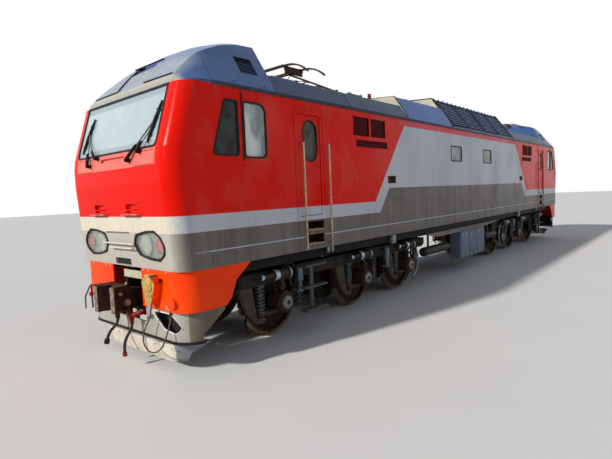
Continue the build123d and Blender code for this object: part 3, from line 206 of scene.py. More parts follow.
# Floor, surround and lamps. A plain pale floor and a white surround. One broad lamp stands off the
# far side of the nose, as the sun does in the photograph, and a weak wide one faces the near side.
bpy.ops.object.select_all(action="DESELECT")
bpy.ops.mesh.primitive_plane_add(size=240.0, location=(0, 0, 0))
floor = bpy.context.active_object
floor.name = "floor"
bpy.ops.object.transform_apply()
floor_paint, shader, where = start_material("floor_paint", 0.95)
feed(shader, Base_Color=mix(grain(where, 0.4, 3.0), (0.7, 0.7, 0.69), (0.76, 0.76, 0.75)))
floor.data.materials.append(floor_paint)

world = bpy.data.worlds.new("sky")
bpy.context.scene.world = world
world.use_nodes = True
sky = feed(world.node_tree.nodes["Background"], Color=(0.82, 0.89, 1.0, 1), Strength=0.31)
white = wired(sky, "ShaderNodeBackground", Color=(1.0, 1.0, 1.0, 1), Strength=1.0)
rays = wired(sky, "ShaderNodeLightPath").outputs
seen = maths("MAXIMUM", rays["Is Camera Ray"], rays["Is Transmission Ray"])
seen = maths("MAXIMUM", seen, rays["Is Glossy Ray"])
choice = wired(sky, "ShaderNodeMixShader")
for socket, value in zip(choice.inputs, (seen, sky.outputs[0], white.outputs[0])):
    put(socket, value)
feed(world.node_tree.nodes["World Output"], Surface=choice.outputs[0])

sun_data = bpy.data.lights.new("sun", "SUN")
sun_data.energy = 3.5
sun_data.angle = math.radians(3)
sun_data.color = (1.0, 0.96, 0.9)
sun = bpy.data.objects.new("sun", sun_data)
link(sun)
sun.rotation_euler = Vector((0.86, -0.2, -0.5)).to_track_quat("-Z", "Y").to_euler()
fill_data = bpy.data.lights.new("fill", "AREA")
fill_data.size = 16.0
fill_data.energy = 260.0
fill_data.color = (0.94, 0.96, 1.0)
fill = bpy.data.objects.new("fill", fill_data)
link(fill)
fill.location = (0.0, -24.0, 9.0)
fill.rotation_euler = (Vector((0.0, 0.0, 2.0)) - fill.location).to_track_quat("-Z", "Y").to_euler()

# Cab shells: sheet steel noses in gloss enamel, red over a white band over grey, riveted to the
# body's frame. The sill panel under the windscreen has two hatches, and a drip ledge runs below
# the side windows. Inside they are lined in pale laminate.
NOSE = ((1.512, 10.205), (1.9, 10.245), (2.75, 10.305), (3.05, 10.305), (3.22, 10.28), (4.1, 10.01))
WALL = 1.55


def nose_reach(height):
    """Reach of the nose's skin at a height above the rail, in the middle of the body."""
    for (z0, r0), (z1, r1) in zip(NOSE, NOSE[1:]):
        if z0 <= height <= z1:
            return r0 + (r1 - r0) * (height - z0) / (z1 - z0)
    return NOSE[-1][1]


def livery(name, wave):
    """The body's paint by place: bands by height, and the slanted field by height and length, with painted
    light in it: paler tones on the front than the sides, painted reflection streaks, painted glare on the
    sill panel and a painted highlight on the side moulding.
    """
    made, shader, where = start_material(name, 0.22, 0.0, 0.04)
    feed(shader, Specular_IOR_Level=0.07)
    x, y, z = axes(where)
    x, y, z = maths("ABSOLUTE", x), maths("ABSOLUTE", y), maths("SUBTRACT", z, RAIL)
    edge = 0.004
    slope = 0.7725
    foot = 5.41 + slope * 2.28

    def above(value, level):
        """1 where a value is above a level, with a hair of softness."""
        return ramp(maths("SUBTRACT", value, level), -edge, edge)

    def less(first):
        """1 where it is 0."""
        return maths("SUBTRACT", 1.0, first)

    slant = maths("ADD", x, both(z, slope))
    in_field = less(above(slant, foot))
    in_core = less(above(slant, foot - 0.36))
    over_grey = above(z, 2.036)
    pale = both(over_grey, less(above(z, 2.273)))
    field = both(in_field, both(over_grey, less(above(z, 3.95))))
    dark_core = both(in_core, less(above(z, 2.55)))
    white = both(maths("MAXIMUM", pale, field), less(dark_core))
    grey = maths("MAXIMUM", less(over_grey), dark_core)
    tone = ramp(grain(where, 0.8, 3.0, (1, 1, 0.6)), 0.35, 0.65)
    red_tone = mix(tone, linear((232, 20, 4)), linear((220, 17, 4)))
    chalk = both(ramp(grain(where, 0.9, 3.0, (1, 1, 0.7), 0.6), 0.5, 0.64), above(y, 1.5))
    red_tone = mix(both(chalk, 0.45), red_tone, linear((222, 88, 80)))
    # The nose front and the sides get their own tones of the white and the grey: paler and warmer on the
    # front as painted sunlight, darker and bluer on the sides as painted shade.
    flank = ramp(y, 1.33, 1.52)
    white_tone = mix(tone, linear((196, 202, 212)), linear((184, 188, 198)))
    white_tone = mix(flank, linear((216, 206, 188)), white_tone)
    # Vertically stretched streaks in the white and the grey: painted reflections on the glossy paint.
    reflection_streak = grain(where, 2.4, 3.0, (2.2, 2.2, 0.25), 0.5)
    white_tone = mix(both(ramp(reflection_streak, 0.48, 0.75), 0.25), white_tone, linear((186, 178, 176)))
    grey_tone = mix(ramp(reflection_streak, 0.35, 0.7), linear((122, 116, 112)), linear((104, 98, 95)))
    grey_tone = mix(flank, linear((182, 178, 168)), grey_tone)
    cloud = both(ramp(grain(where, 1.5, 4.0, (0.7, 1, 1.3), 1.2), 0.5, 0.66), dark_core)
    grey_tone = mix(both(cloud, 0.5), grey_tone, linear((96, 90, 86)))
    base = mix(white, red_tone, white_tone)
    base = mix(grey, base, grey_tone)
    # A paler pink patch on the sill panel under the windscreen: painted glare of the sun on the red paint.
    sill = both(both(above(z, 2.985), less(above(z, 3.22))), both(above(x, 10.2), less(above(y, 1.21))))
    base = mix(both(sill, 0.55), base, linear((240, 150, 138)))
    pink = both(both(above(z, 3.95), both(flank, less(above(x, 4.3)))), less(white))
    base = mix(both(pink, 0.55), base, linear((214, 96, 110)))
    # A pale blue-grey line along the side moulding: painted highlight of the sky on its top edge.
    line = both(both(above(z, 1.744), less(above(z, 1.764))), above(y, 1.551))
    base = mix(line, base, linear((190, 200, 214)))
    runs = ramp(grain(where, 3.2, 4.0, (6.0, 6.0, 0.35)), 0.54, 0.8)
    low = ramp(z, 2.6, 1.5, 0.08, 0.8)
    speckle = ramp(grain(where, 24.0, 5.0), 0.45, 0.75)
    dirt = both(maths("MAXIMUM", runs, both(speckle, 0.6)), low)
    base = mix(both(dirt, 0.6), base, linear((92, 82, 72)))
    top = both(ramp(z, 3.75, 4.1), ramp(grain(where, 5.0, 4.0, (2.5, 2.5, 0.3)), 0.5, 0.72))
    base = mix(both(top, 0.35), base, linear((120, 100, 96)))
    rough = ramp(maths("MAXIMUM", dirt, both(chalk, 0.5)), 0.0, 0.7, 0.2, 0.55)
    feed(shader, Base_Color=base, Roughness=rough)
    waves = grain(where, 1.1, 2.0, (1.0, 1.0, 0.8))
    fine = both(grain(where, 45.0, 2.0), 0.012)
    bump(shader, maths("ADD", waves, fine), 0.6, wave)
    return made


def worn(name, colour, second, roughness, scale=6.0, metal=0.0, dirt=(96, 84, 70), dusty=0.35, coat=0.0,
        grit=0.002, low=0.0, high=1.2):
    """Painted or bare metal: two tones in patches, dust that thickens downwards, and a fine grain."""
    made, shader, where = start_material(name, roughness, metal, coat)
    patches = ramp(grain(where, scale, 4.0), 0.38, 0.66)
    base = mix(patches, linear(colour), linear(second))
    fall = ramp(axes(where)[2], high, low, 0.25, 1.0)
    dust = both(ramp(grain(where, scale * 2.7, 5.0), 0.35, 0.7), fall)
    dust = maths("MULTIPLY", dust, dusty, clamp=True)
    feed(shader, Base_Color=mix(dust, base, linear(dirt)))
    feed(shader, Roughness=ramp(dust, 0.0, 0.6, roughness, min(1.0, roughness + 0.35)))
    bump(shader, grain(where, 60.0, 4.0), 0.35, grit)
    return made


def dress(names, finishes, choose=None):
    """Gives CAD nodes their finishes; choose picks one by a face's middle and normal."""
    for name in names:
        data = nodes[name].data
        data.materials.clear()
        for finish in finishes:
            data.materials.append(finish)
        for polygon in data.polygons:
            polygon.material_index = choose(polygon.center, polygon.normal) if choose else 0


def only(*items):
    """Selects these objects alone, the first one active."""
    bpy.ops.object.select_all(action="DESELECT")
    for item in items:
        item.select_set(True)
    bpy.context.view_layer.objects.active = items[0]


def tube(name, runs, radius, closed=False, smooth=False):
    """A mesh of thin rods, wires or seams along runs of points."""
    only(curve_object(name, runs, radius, rings=2, steps=6 if smooth else 0, closed=closed))
    bpy.ops.object.convert(target="MESH")
    return bpy.context.active_object


def lines(name, runs, radius, finish, body="locomotive_body", closed=False, smooth=False):
    """Rods, wires or seams as one piece with its finish and body."""
    made = tube(name, runs, radius, closed, smooth)
    made.data.materials.append(finish)
    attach(made, body)
    return made


def other_end(item, body="locomotive_body"):
    """The same piece at the other end, turned half a turn about the vertical."""
    made = item.copy()
    made.data = item.data.copy()
    made.parent = None
    made.matrix_world = Matrix.Identity(4)
    made.data.transform(Matrix.Rotation(math.pi, 4, "Z"))
    made.name = item.name + "_rear"
    link(made)
    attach(made, body)
    return made


def up(x, y, height):
    """A place by its height above the rail."""
    return (x, y, height + RAIL)


def on_nose(y, height, proud=0.0):
    """A point on the front of the nose."""
    return up(-nose_reach(height) - proud, y, height)


body_paint = livery("body_paint", 0.012)
lining = worn("cab_lining", (206, 202, 186), (192, 188, 172), 0.6, 3.0, dusty=0.1)
seam_black = worn("seam_black", (24, 22, 22), (34, 30, 28), 0.7, 9.0, dusty=0.15)


def shell_face(middle, normal):
    """0 for the painted skin, 1 for the lining."""
    inwards = normal.y * middle.y + normal.x * (middle.x - math.copysign(8.9, middle.x))
    deep = min(WALL - abs(middle.y), nose_reach(middle.z - RAIL) - abs(middle.x)) > 0.052
    return 1 if inwards < -0.05 and deep else 0


dress(["cab_shell_front", "cab_shell_rear"], [body_paint, lining], shell_face)


def rounded(y0, y1, z0, z1, radius):
    """Outline of a rounded panel on the nose, as Y and height, each corner in four points."""
    points = []
    for corner_y, corner_z, first in ((y1 - radius, z1 - radius, 0), (y0 + radius, z1 - radius, 90),
            (y0 + radius, z0 + radius, 180), (y1 - radius, z0 + radius, 270)):
        for step in range(4):
            angle = math.radians(first + 30 * step)
            points.append((corner_y + radius * math.cos(angle), corner_z + radius * math.sin(angle)))
    return points


hatches = [[on_nose(y, h) for y, h in rounded(*size, 0.035)]
    for size in ((-1.19, -0.64, 2.995, 3.185), (0.64, 1.19, 2.995, 3.185))]
other_end(lines("sill_hatch_seams", hatches, 0.0035, seam_black, closed=True))
other_end(lines("sill_lip", [[on_nose(-1.215, 2.985), on_nose(1.215, 2.985)]], 0.006, body_paint))
GRIP = ((-0.16, 0.0), (-0.16, 0.05), (0.16, 0.05), (0.16, 0.0))
grips = [[on_nose(y + aside, 2.375, proud) for aside, proud in GRIP] for y in (-0.465, 0.545)]
other_end(lines("foothold_bars", grips, 0.008, body_paint))
ledges = []
seams = []
for side in (-1, 1):
    skin = side * WALL
    ledges.append([up(-9.77, skin, 2.96), up(-8.36, skin, 2.96)])
    seams += [[up(-9.018, skin, 3.935), up(-9.018, skin, 4.098)],
        [up(-7.85, skin, 1.515), up(-7.85, skin, 4.098)], [up(-9.69, skin, 1.515), up(-9.69, skin, 1.74)]]
other_end(lines("drip_ledges", ledges, 0.007, body_paint))
other_end(lines("cab_seams", seams, 0.003, seam_black))

# Side walls: welded steel sheet with upright slats in the air intakes, which sit in dark boxes.
# The slats' edges are a dark, heavily dusted red and the boxes behind them nearly black.
LOUVRES = ((-6.14, -4.96, 3.61, 3.98), (-6.05, -4.89, 3.39, 3.53), (-4.89, -4.56, 2.65, 2.81))
intake_red = worn("intake_red", (120, 16, 14), (84, 12, 12), 0.5, 9.0, dirt=(30, 24, 22), dusty=0.8,
    high=5.0)
intake_black = worn("intake_black", (22, 17, 17), (14, 12, 12), 0.8, 9.0, dusty=0.15)


def wall_face(middle, normal):
    """0 for the painted sheet, 1 for slat edges, 2 for the boxes behind, 3 for the lining."""
    deep = WALL - abs(middle.y)
    for x0, x1, z0, z1 in LOUVRES:
        if x0 - 0.001 < -abs(middle.x) < x1 + 0.001 and z0 < middle.z - RAIL < z1 and 0.0005 < deep < 0.05:
            return 1 if deep < 0.009 else 2
    return 3 if deep > 0.058 else 0


dress(["side_wall_right", "side_wall_left"], [body_paint, intake_red, intake_black, lining], wall_face)
dress(["bulkheads"], [lining])
machine_grey = worn("machine_grey", (92, 98, 100), (78, 84, 88), 0.6, 2.0, dusty=0.3, high=4.0)
dress(["equipment_block"], [machine_grey])

frames = []
for side in (-1, 1):
    skin = side * 1.5505
    for mirror_x in (-1, 1):
        for x0, x1, z0, z1 in ((-6.14, -5.59, 3.61, 3.98), (-5.51, -4.96, 3.61, 3.98),
                (-6.05, -4.89, 3.39, 3.53), (-4.89, -4.56, 2.65, 2.81)):
            a, b = -mirror_x * (x0 - 0.012), -mirror_x * (x1 + 0.012)
            low, high = z0 - 0.012 + RAIL, z1 + 0.012 + RAIL
            frames.append([(a, skin, low), (b, skin, low), (b, skin, high), (a, skin, high)])
lines("intake_frames", frames, 0.006, body_paint, closed=True)
seams = [[up(x, side * WALL, 1.775), up(x, side * WALL, 3.93)] for side in (-1, 1)
    for x in (-4.2, -2.35, -0.2, 1.95, 4.2)]
lines("wall_weld_seams", seams, 0.0016, body_paint)


def edit(item, action, **settings):
    """Runs one action of edit mode on the whole of an item's mesh."""
    only(item)
    bpy.ops.object.mode_set(mode="EDIT")
    bpy.ops.mesh.select_all(action="SELECT")
    action(**settings)
    bpy.ops.object.mode_set(mode="OBJECT")


def block(low, high, edge=0.004, segments=2):
    """A block between two corners with its edges rounded."""
    bpy.ops.object.select_all(action="DESELECT")
    middle = [(a + b) / 2 for a, b in zip(low, high)]
    bpy.ops.mesh.primitive_cube_add(size=1.0, location=middle)
    item = bpy.context.active_object
    item.scale = [abs(b - a) for a, b in zip(low, high)]
    bpy.ops.object.transform_apply()
    return soften(item, edge, segments)


def soften(item, edge, segments=2):
    """Rounds an item's sharp edges and shades it smooth between them."""
    only(item)
    if edge:
        rounding = item.modifiers.new("rounding", "BEVEL")
        rounding.width = edge
        rounding.segments = segments
        rounding.limit_method = "ANGLE"
        bpy.ops.object.modifier_apply(modifier="rounding")
    bpy.ops.object.shade_smooth_by_angle(angle=math.radians(40))
    return item


def turning(start, end, profile, sides=16):
    """A round part along a line: profile rows are the share of the length and the radius there."""
    bpy.ops.object.select_all(action="DESELECT")
    start, end = Vector(start), Vector(end)
    bpy.ops.mesh.primitive_cylinder_add(vertices=sides, radius=1.0, depth=1.0, end_fill_type="NGON")
    item = bpy.context.active_object
    bpy.ops.object.mode_set(mode="EDIT")
    for share, _ in profile[1:-1]:
        bpy.ops.mesh.select_all(action="SELECT")
        bpy.ops.mesh.bisect(plane_co=(0, 0, share - 0.5), plane_no=(0, 0, 1))
    bpy.ops.object.mode_set(mode="OBJECT")
    length = (end - start).length
    for vertex in item.data.vertices:
        share = vertex.co.z + 0.5
        row = min(profile, key=lambda pair: abs(pair[0] - share))
        span = math.hypot(vertex.co.x, vertex.co.y)
        vertex.co.x *= row[1] / span
        vertex.co.y *= row[1] / span
        vertex.co.z = share * length
    turned = (end - start).to_track_quat("Z", "Y").to_matrix().to_4x4()
    item.data.transform(Matrix.Translation(start) @ turned)
    only(item)
    bpy.ops.object.shade_smooth_by_angle(angle=math.radians(40))
    return item


def rod(start, end, radius, sides=16):
    """A plain round bar along a line."""
    return turning(start, end, ((0, radius), (1, radius)), sides)


def copies(master, places):
    """Copies of a master, each with its own mesh, moved by matrices; the master goes."""
    made = []
    for place in places:
        item = master.copy()
        item.data = master.data.copy()
        item.data.transform(place)
        link(item)
        made.append(item)
    bpy.data.objects.remove(master)
    return made


def joined(parts, finish):
    """Parts joined into one mesh with one finish."""
    only(*parts)
    if len(parts) > 1:
        bpy.ops.object.join()
    item = bpy.context.active_object
    bpy.ops.object.transform_apply()
    item.data.materials.clear()
    item.data.materials.append(finish)
    return item


def assemble(name, parts, finish, body="locomotive_body"):
    """Joins parts into one piece with its finish and body."""
    item = joined(parts, finish)
    item.name = name
    item.data.name = name
    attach(item, body)
    return item


# Doors: pressed steel leaves with an oval pane in a rubber ring, a lever handle and a lock cover.
# A rain strip is riveted over each doorway, and worn steel treads lie in the niches below.
OVAL = (7.455, 3.415, 0.205, 0.16)
rubber = worn("black_rubber", (24, 24, 25), (36, 35, 35), 0.55, 8.0, dirt=(96, 92, 84), dusty=0.25, low=1.0,
    high=4.4)


def pane_finish(name, dark, light, clear, roughness=0.04, scale=3.0):
    """Window glass with a dusty film: darker and lighter clouds over a clear sheet."""
    made, shader, where = start_material(name, roughness)
    cloud = ramp(grain(where, scale, 4.0, (1.4, 1, 0.8), 0.8), 0.4, 0.64)
    feed(shader, Base_Color=mix(cloud, linear(dark), linear(light)), Transmission_Weight=clear, IOR=1.45,
        Specular_IOR_Level=0.2)
    film = ramp(grain(where, scale * 4.0, 4.0), 0.5, 0.8, roughness, roughness + 0.12)
    feed(shader, Roughness=film)
    bump(shader, grain(where, 2.0, 1.0), 0.2, 0.002)
    return made


door_pane = pane_finish("door_pane", (34, 38, 40), (92, 88, 72), 0.25, scale=5.0)


def door_face(middle, normal):
    """0 for the leaf, 1 for the rubber ring, 2 for the pane."""
    off = max(abs(middle.z - RAIL - OVAL[1]) - OVAL[3], 0.0)
    reach = math.hypot(abs(middle.x) - OVAL[0], off)
    if reach < OVAL[2] - 0.0275:
        return 2
    return 1 if reach < OVAL[2] - 0.0005 else 0


dress(["door_1", "door_2", "door_3", "door_4"], [body_paint, rubber, door_pane], door_face)
brown_plate = worn("brown_plate", (132, 108, 92), (96, 78, 66), 0.6, 7.0, dirt=(70, 60, 52), dusty=0.6,
    high=2.3)
niche_dark = worn("niche_dark", (40, 34, 31), (26, 24, 23), 0.8, 7.0, dirt=(92, 76, 60), dusty=0.5,
    high=2.3)
dress(["step_boxes"], [brown_plate, niche_dark], lambda middle, normal: 0 if abs(middle.y) > 1.5495 else 1)

pale_rail = worn("pale_rail", (206, 198, 176), (190, 178, 150), 0.35, 9.0, metal=0.2, dirt=(176, 118, 70),
    dusty=1.0, low=1.4, high=3.4)
step_rust = worn("step_rust", (150, 122, 104), (196, 190, 180), 0.4, 22.0, metal=0.4, dirt=(96, 66, 50),
    dusty=0.5, high=4.0)
bright_rail = worn("bright_rail", (222, 218, 208), (198, 196, 190), 0.3, 9.0, metal=0.3, dusty=0.2)


def rail_face(middle, normal):
    """0 for the rails beside the doors, 1 for the lamp rails, 2 for the step plates."""
    if abs(middle.x) < 10.0:
        return 0
    return 2 if middle.z - RAIL > 2.25 else 1


dress(["handrails"], [pale_rail, bright_rail, step_rust], rail_face)

DOOR_BODIES = {"door_body_1": (-1, -1), "door_body_2": (1, -1), "door_body_3": (-1, 1),
    "door_body_4": (1, 1)}
treads = []
strips = []
for body, (end, side) in DOOR_BODIES.items():
    face = side * 1.53
    proud = side * 1.546
    x = end * 7.255
    parts = [block(up(x - 0.03, face, low), up(x + 0.03, proud, high), 0.006)
        for low, high in ((2.97, 3.02), (2.33, 2.38))]
    for z in (2.995, 2.355):
        parts.append(turning(up(x, proud, z), up(x + end * 0.115, proud, z), ((0, 0.011), (1, 0.008)), 8))
    groove = x + end * 0.05
    parts.append(block(up(groove - 0.006, face, 2.14), up(groove + 0.006, side * 1.5345, 3.36), 0.002))
    assemble("door_lock_" + body[-1], parts, body_paint, body)
    skin = side * WALL
    out = side * 1.562
    for x, half, low, high in ((7.495, 0.31, 3.925, 3.94), (7.87, 0.01, 2.05, 3.9),
            (7.12, 0.01, 2.05, 3.9)):
        strips.append(block(up(end * x - half, skin, low), up(end * x + half, out, high), 0.004))
    for low in (1.6, 1.85):
        for i in range(5):
            depth = side * (1.545 - 0.04 * i)
            treads.append(block(up(end * 7.42 - 0.235, depth - 0.008, low),
                up(end * 7.42 + 0.235, depth + 0.008, low + 0.018), 0.003, 1))
assemble("doorway_strips", strips, body_paint)
assemble("niche_treads", treads, step_rust)
lugs = [turning(up(x, side * WALL, z), up(x, side * 1.56, z), ((0, 0.03), (0.6, 0.03), (1, 0.018)), 12)
    for x in (-7.715, -7.015, 7.715, 7.015) for side in (-1, 1) for z in (1.56, 2.5, 3.35)]
assemble("handrail_feet", lugs, body_paint)

# Roof: ribbed steel covers in blue-grey enamel with bolted edges, and moulded plastic cab roofs.
# Cream end walls close the raised sections. A gutter runs along both sides.
ROOF_DUST = {"low": 4.0, "high": 5.2}
roof_paint = worn("roof_paint", (70, 108, 164), (60, 94, 144), 0.34, 1.2, dirt=(104, 110, 120), dusty=0.2,
    **ROOF_DUST, coat=0.25, grit=0.004)
slot_lip = worn("slot_lip", (206, 196, 170), (190, 182, 160), 0.5, 9.0, dusty=0.2, **ROOF_DUST)
grille_dark = worn("grille_dark", (36, 40, 48), (24, 26, 32), 0.55, 9.0, dusty=0.2, **ROOF_DUST)


def cab_roof_face(middle, normal):
    """0 for the moulding, 1 inside slots and grilles."""
    x, y, z = abs(middle.x), abs(middle.y), middle.z - RAIL
    if 8.48 < x < 8.855 and 4.38 < z < 4.74 and y > 1.02:
        edge = WALL - 0.49 * (z - 4.13) / 0.8
        return 1 if y < edge - 0.004 else 0
    if 9.35 < x < 9.6 and 4.655 < z < 4.69 and y < 0.44:
        return 1
    return 0


def moulding(name):
    """The roof paint with a paler front painted as sunlight, kept off the shaded sides, and a pale band
    over the windscreen.
    """
    made, shader, where = start_material(name, 0.34, 0.0, 0.3)
    x, y, z = axes(where)
    x, y, z = maths("ABSOLUTE", x), maths("ABSOLUTE", y), maths("SUBTRACT", z, RAIL)
    cloud = ramp(grain(where, 1.3, 4.0, (1, 1, 1), 0.4), 0.36, 0.66)
    base = mix(cloud, linear((60, 98, 154)), linear((46, 78, 126)))
    # A paler blue-grey on the front of the mask, held off its sides: painted sunlight on the front.
    front = both(ramp(x, 9.36, 9.7), ramp(cloud, 0.0, 1.0, 1.0, 0.8))
    front = both(front, ramp(y, 1.38, 1.2))
    base = mix(front, base, linear((140, 150, 162)))
    band = both(ramp(z, 4.242, 4.198), ramp(x, 9.88, 9.96))
    base = mix(band, base, linear((172, 170, 160)))
    dust = ramp(grain(where, 9.0, 5.0), 0.45, 0.8, 0.0, 0.22)
    base = mix(dust, base, linear((116, 118, 118)))
    feed(shader, Base_Color=base, Roughness=ramp(dust, 0.0, 0.22, 0.3, 0.5))
    bump(shader, grain(where, 60.0, 4.0), 0.35, 0.003)
    return made


dress(["cab_roof_front", "cab_roof_rear"], [moulding("cab_roof_paint"), grille_dark], cab_roof_face)
# Black runs along the scoop's far edge, across the slot at its top and along the slots over the windscreen:
# painted shadow in the scoop and slots, drawn as thin black tubes.
SCOOP_EDGE = ((9.93, 4.248), (9.9, 4.285), (9.8, 4.398), (9.68, 4.522), (9.59, 4.606))
scoop_shadow_runs = [[up(-x, 0.33, z) for x, z in SCOOP_EDGE]]
for aside, lift in ((0.352, 0.01), (0.308, 0.006)):
    scoop_shadow_runs.append([(-x, aside if 0 < i < 4 else 0.33, z + RAIL + lift)
        for i, (x, z) in enumerate(SCOOP_EDGE)])
scoop_shadow_runs.append([up(-9.552, y, 4.674) for y in (-0.41, 0.01, 0.43)])
for low, high in ((-1.18, -0.45), (0.345, 1.15)):
    spots = [low + (high - low) * i / 4 for i in range(5)]
    scoop_shadow_runs.append([up(-9.936 + 0.023 * (y / 1.23) ** 2, y, 4.25) for y in spots])
other_end(lines("scoop_shadow_lines", scoop_shadow_runs, 0.012, seam_black))
roof_low_blue = worn("roof_low_blue", (34, 60, 98), (26, 50, 82), 0.36, 1.2, dirt=(84, 92, 104), dusty=0.15,
    **ROOF_DUST, grit=0.004)
roof_smooth_blue = worn("roof_smooth_blue", (34, 98, 174), (26, 84, 154), 0.34, 0.9, dirt=(96, 112, 136),
    dusty=0.12, **ROOF_DUST, coat=0.1, grit=0.004)
dress(["low_roofs"], [roof_low_blue])
dress(["roof_smooth_section"], [roof_smooth_blue])
cream_paint = worn("cream_paint", (198, 194, 170), (178, 176, 156), 0.5, 2.0, dirt=(120, 110, 90),
    dusty=0.5, **ROOF_DUST)
dress(["roof_end_walls"], [cream_paint])
SLOPE_FOOT, SLOPE_TOP, SLOPE_LEAN = 4.15, 5.02, 0.63


def louvre_face(middle, normal):
    """0 for the cover, 1 for the box behind the slats and 2 for their outer faces."""
    y, z = abs(middle.y), middle.z - RAIL
    share = (z - SLOPE_FOOT) / (SLOPE_TOP - SLOPE_FOOT)
    surface = WALL - SLOPE_LEAN * share
    if share < 0.02 or share > 0.98:
        return 0
    if y < surface - 0.006 and y > 0.5:
        out = normal.y * math.copysign(0.81, middle.y) + normal.z * 0.586
        return 2 if out > 0.6 and y > surface - 0.045 else 1
    return 0


slat_blue = worn("slat_blue", (54, 104, 168), (42, 86, 144), 0.4, 3.0, dusty=0.1, **ROOF_DUST)
dress(["roof_louvre_section"], [roof_paint, grille_dark, slat_blue], louvre_face)

gutter_blue = worn("gutter_blue", (52, 62, 78), (40, 48, 62), 0.4, 3.0, dirt=(110, 100, 90), dusty=0.4,
    low=4.0, high=4.4)
gutters = []
for side in (-1, 1):
    for inner, outer, top, edge in ((WALL, 1.562, 4.142, 0.003), (1.56, 1.572, 4.1, 0.004)):
        gutters.append(block(up(-9.52, side * inner, 4.086), up(9.52, side * outer, top), edge))
assemble("gutters", gutters, gutter_blue)

joints = []
for side in (-1, 1):
    for end in (-1, 1):
        for x, low, middle, high in ((end * 8.262, 4.15, 4.466, 4.601), (end * 6.2, 4.152, 4.467, 4.602)):
            joints.append([up(x, side * WALL, low), up(x, side * 1.33, middle), up(x, 0.0, high)])
lines("roof_joints", joints, 0.004, seam_black)

lift_lugs = []
for x in (-9.143, -8.54, 8.54, 9.143):
    for side in (-1, 1):
        lift_lugs += [block(up(x - 0.032, side * 1.548, 4.105), up(x + 0.032, side * 1.56, 4.225), 0.008),
            turning(up(x, side * 1.556, 4.2), up(x, side * 1.572, 4.2), ((0, 0.02), (1, 0.016)), 10)]
for side in (-1, 1):
    for i in range(17):
        x = -1.2 + i * 0.31
        lift_lugs.append(turning(up(x, side * 0.905, 5.015), up(x, side * 0.905, 5.052),
            ((0, 0.022), (0.6, 0.022), (1, 0.012)), 8))
assemble("roof_lugs", lift_lugs, roof_paint)

# Fittings on the roof: hatch covers with grab rails, vents, and dark blue frames round the grilles,
# all of pressed steel and bolted down. Black seams show where the sections meet.
SECTION_EDGES = ((-3.9, 1.195, 4.7, 4.8), (-1.365, 0.92, 5.02, 5.08), (3.875, 0.92, 5.02, 5.08))
trims = []
for x, shoulder, low, high in SECTION_EDGES:
    for side in (-1, 1):
        trims.append([up(x, side * WALL, 4.152), (x, side * shoulder, low + RAIL + 0.002)])
    trims.append([(x, -shoulder, low + RAIL + 0.002), (x, 0.0, high + RAIL + 0.002),
        (x, shoulder, low + RAIL + 0.002)])
lines("section_trims", trims, 0.014, seam_black)


def slope_point(x, side, share, proud=0.004):
    """A point on the louvred section's slope: share 0 at the gutter and 1 at the shoulder."""
    y = WALL - SLOPE_LEAN * share + proud * 0.81
    return (x, side * y, SLOPE_FOOT + 0.87 * share + RAIL + proud * 0.59)


panel_frames = []
panel_ribs = []
for side in (-1, 1):
    for x0, x1 in ((-1.2, 1.13), (1.3, 3.72)):
        corners = ((x0, 0.055), (x1, 0.055), (x1, 0.945), (x0, 0.945))
        panel_frames.append([slope_point(x, side, share) for x, share in corners])
        middle = x0 + (x1 - x0) / 2
        panel_ribs.append([slope_point(middle, side, share, 0.006) for share in (0.055, 0.945)])
    for x in (-1.29, 1.215, 3.79):
        panel_ribs.append([slope_point(x, side, share) for share in (0.02, 0.99)])
frame_blue = worn("frame_blue", (34, 44, 66), (26, 34, 52), 0.35, 3.0, dusty=0.2, **ROOF_DUST)
lines("louvre_frames", panel_frames, 0.014, frame_blue, closed=True)
lines("louvre_ribs", panel_ribs, 0.02, frame_blue)

hatches = [block(up(x0, -0.52, top - 0.055), up(x1, 0.52, top + 0.022), 0.018, 3)
    for x0, x1, top in ((-3.62, -2.72, 4.8), (-2.52, -1.62, 4.8), (-1.1, 0.1, 5.08), (0.35, 1.05, 5.08),
    (1.45, 2.45, 5.08), (2.65, 3.6, 5.08))]
for x in (-7.75, -7.4, 4.6, 7.4, 7.75):
    for near, far in ((0.72, 1.1), (-1.1, -0.72)):
        hatches.append(block(up(x - 0.14, near, 4.5), up(x + 0.14, far, 4.565), 0.018, 3))
assemble("roof_hatches", hatches, roof_paint)
grab = []
for x, top in ((-3.17, 4.8), (-2.07, 4.8), (-0.5, 5.08), (0.7, 5.08), (1.95, 5.08), (3.12, 5.08)):
    z = top + 0.02 + RAIL
    for y in (-0.42, 0.42):
        grab.append([(x + aside, y, z + rise) for aside, rise in ((-0.1, 0), (-0.1, 0.045), (0.1, 0.045),
            (0.1, 0))])
lines("roof_grab_rails", grab, 0.007, roof_paint)
vents = [turning(up(x, y, top), up(x, y, top + 0.1), ((0, 0.05), (0.45, 0.05), (0.5, 0.085), (0.8, 0.085),
    (1, 0.03)), 16) for x, y, top in ((-3.3, -0.78, 4.72), (-2.2, -0.78, 4.72), (-3.3, 0.78, 4.72),
    (1.2, 0.0, 5.07), (-1.22, 0.0, 5.07))]
assemble("roof_vents", vents, roof_paint)

# Windscreens: laminated heated glass with a tinted band along the top and a printed one along the
# foot, bedded in black rubber. It mirrors the sky, its pale cloudy colour is a painted reflection of the
# sky, and the cab shows through it faintly.


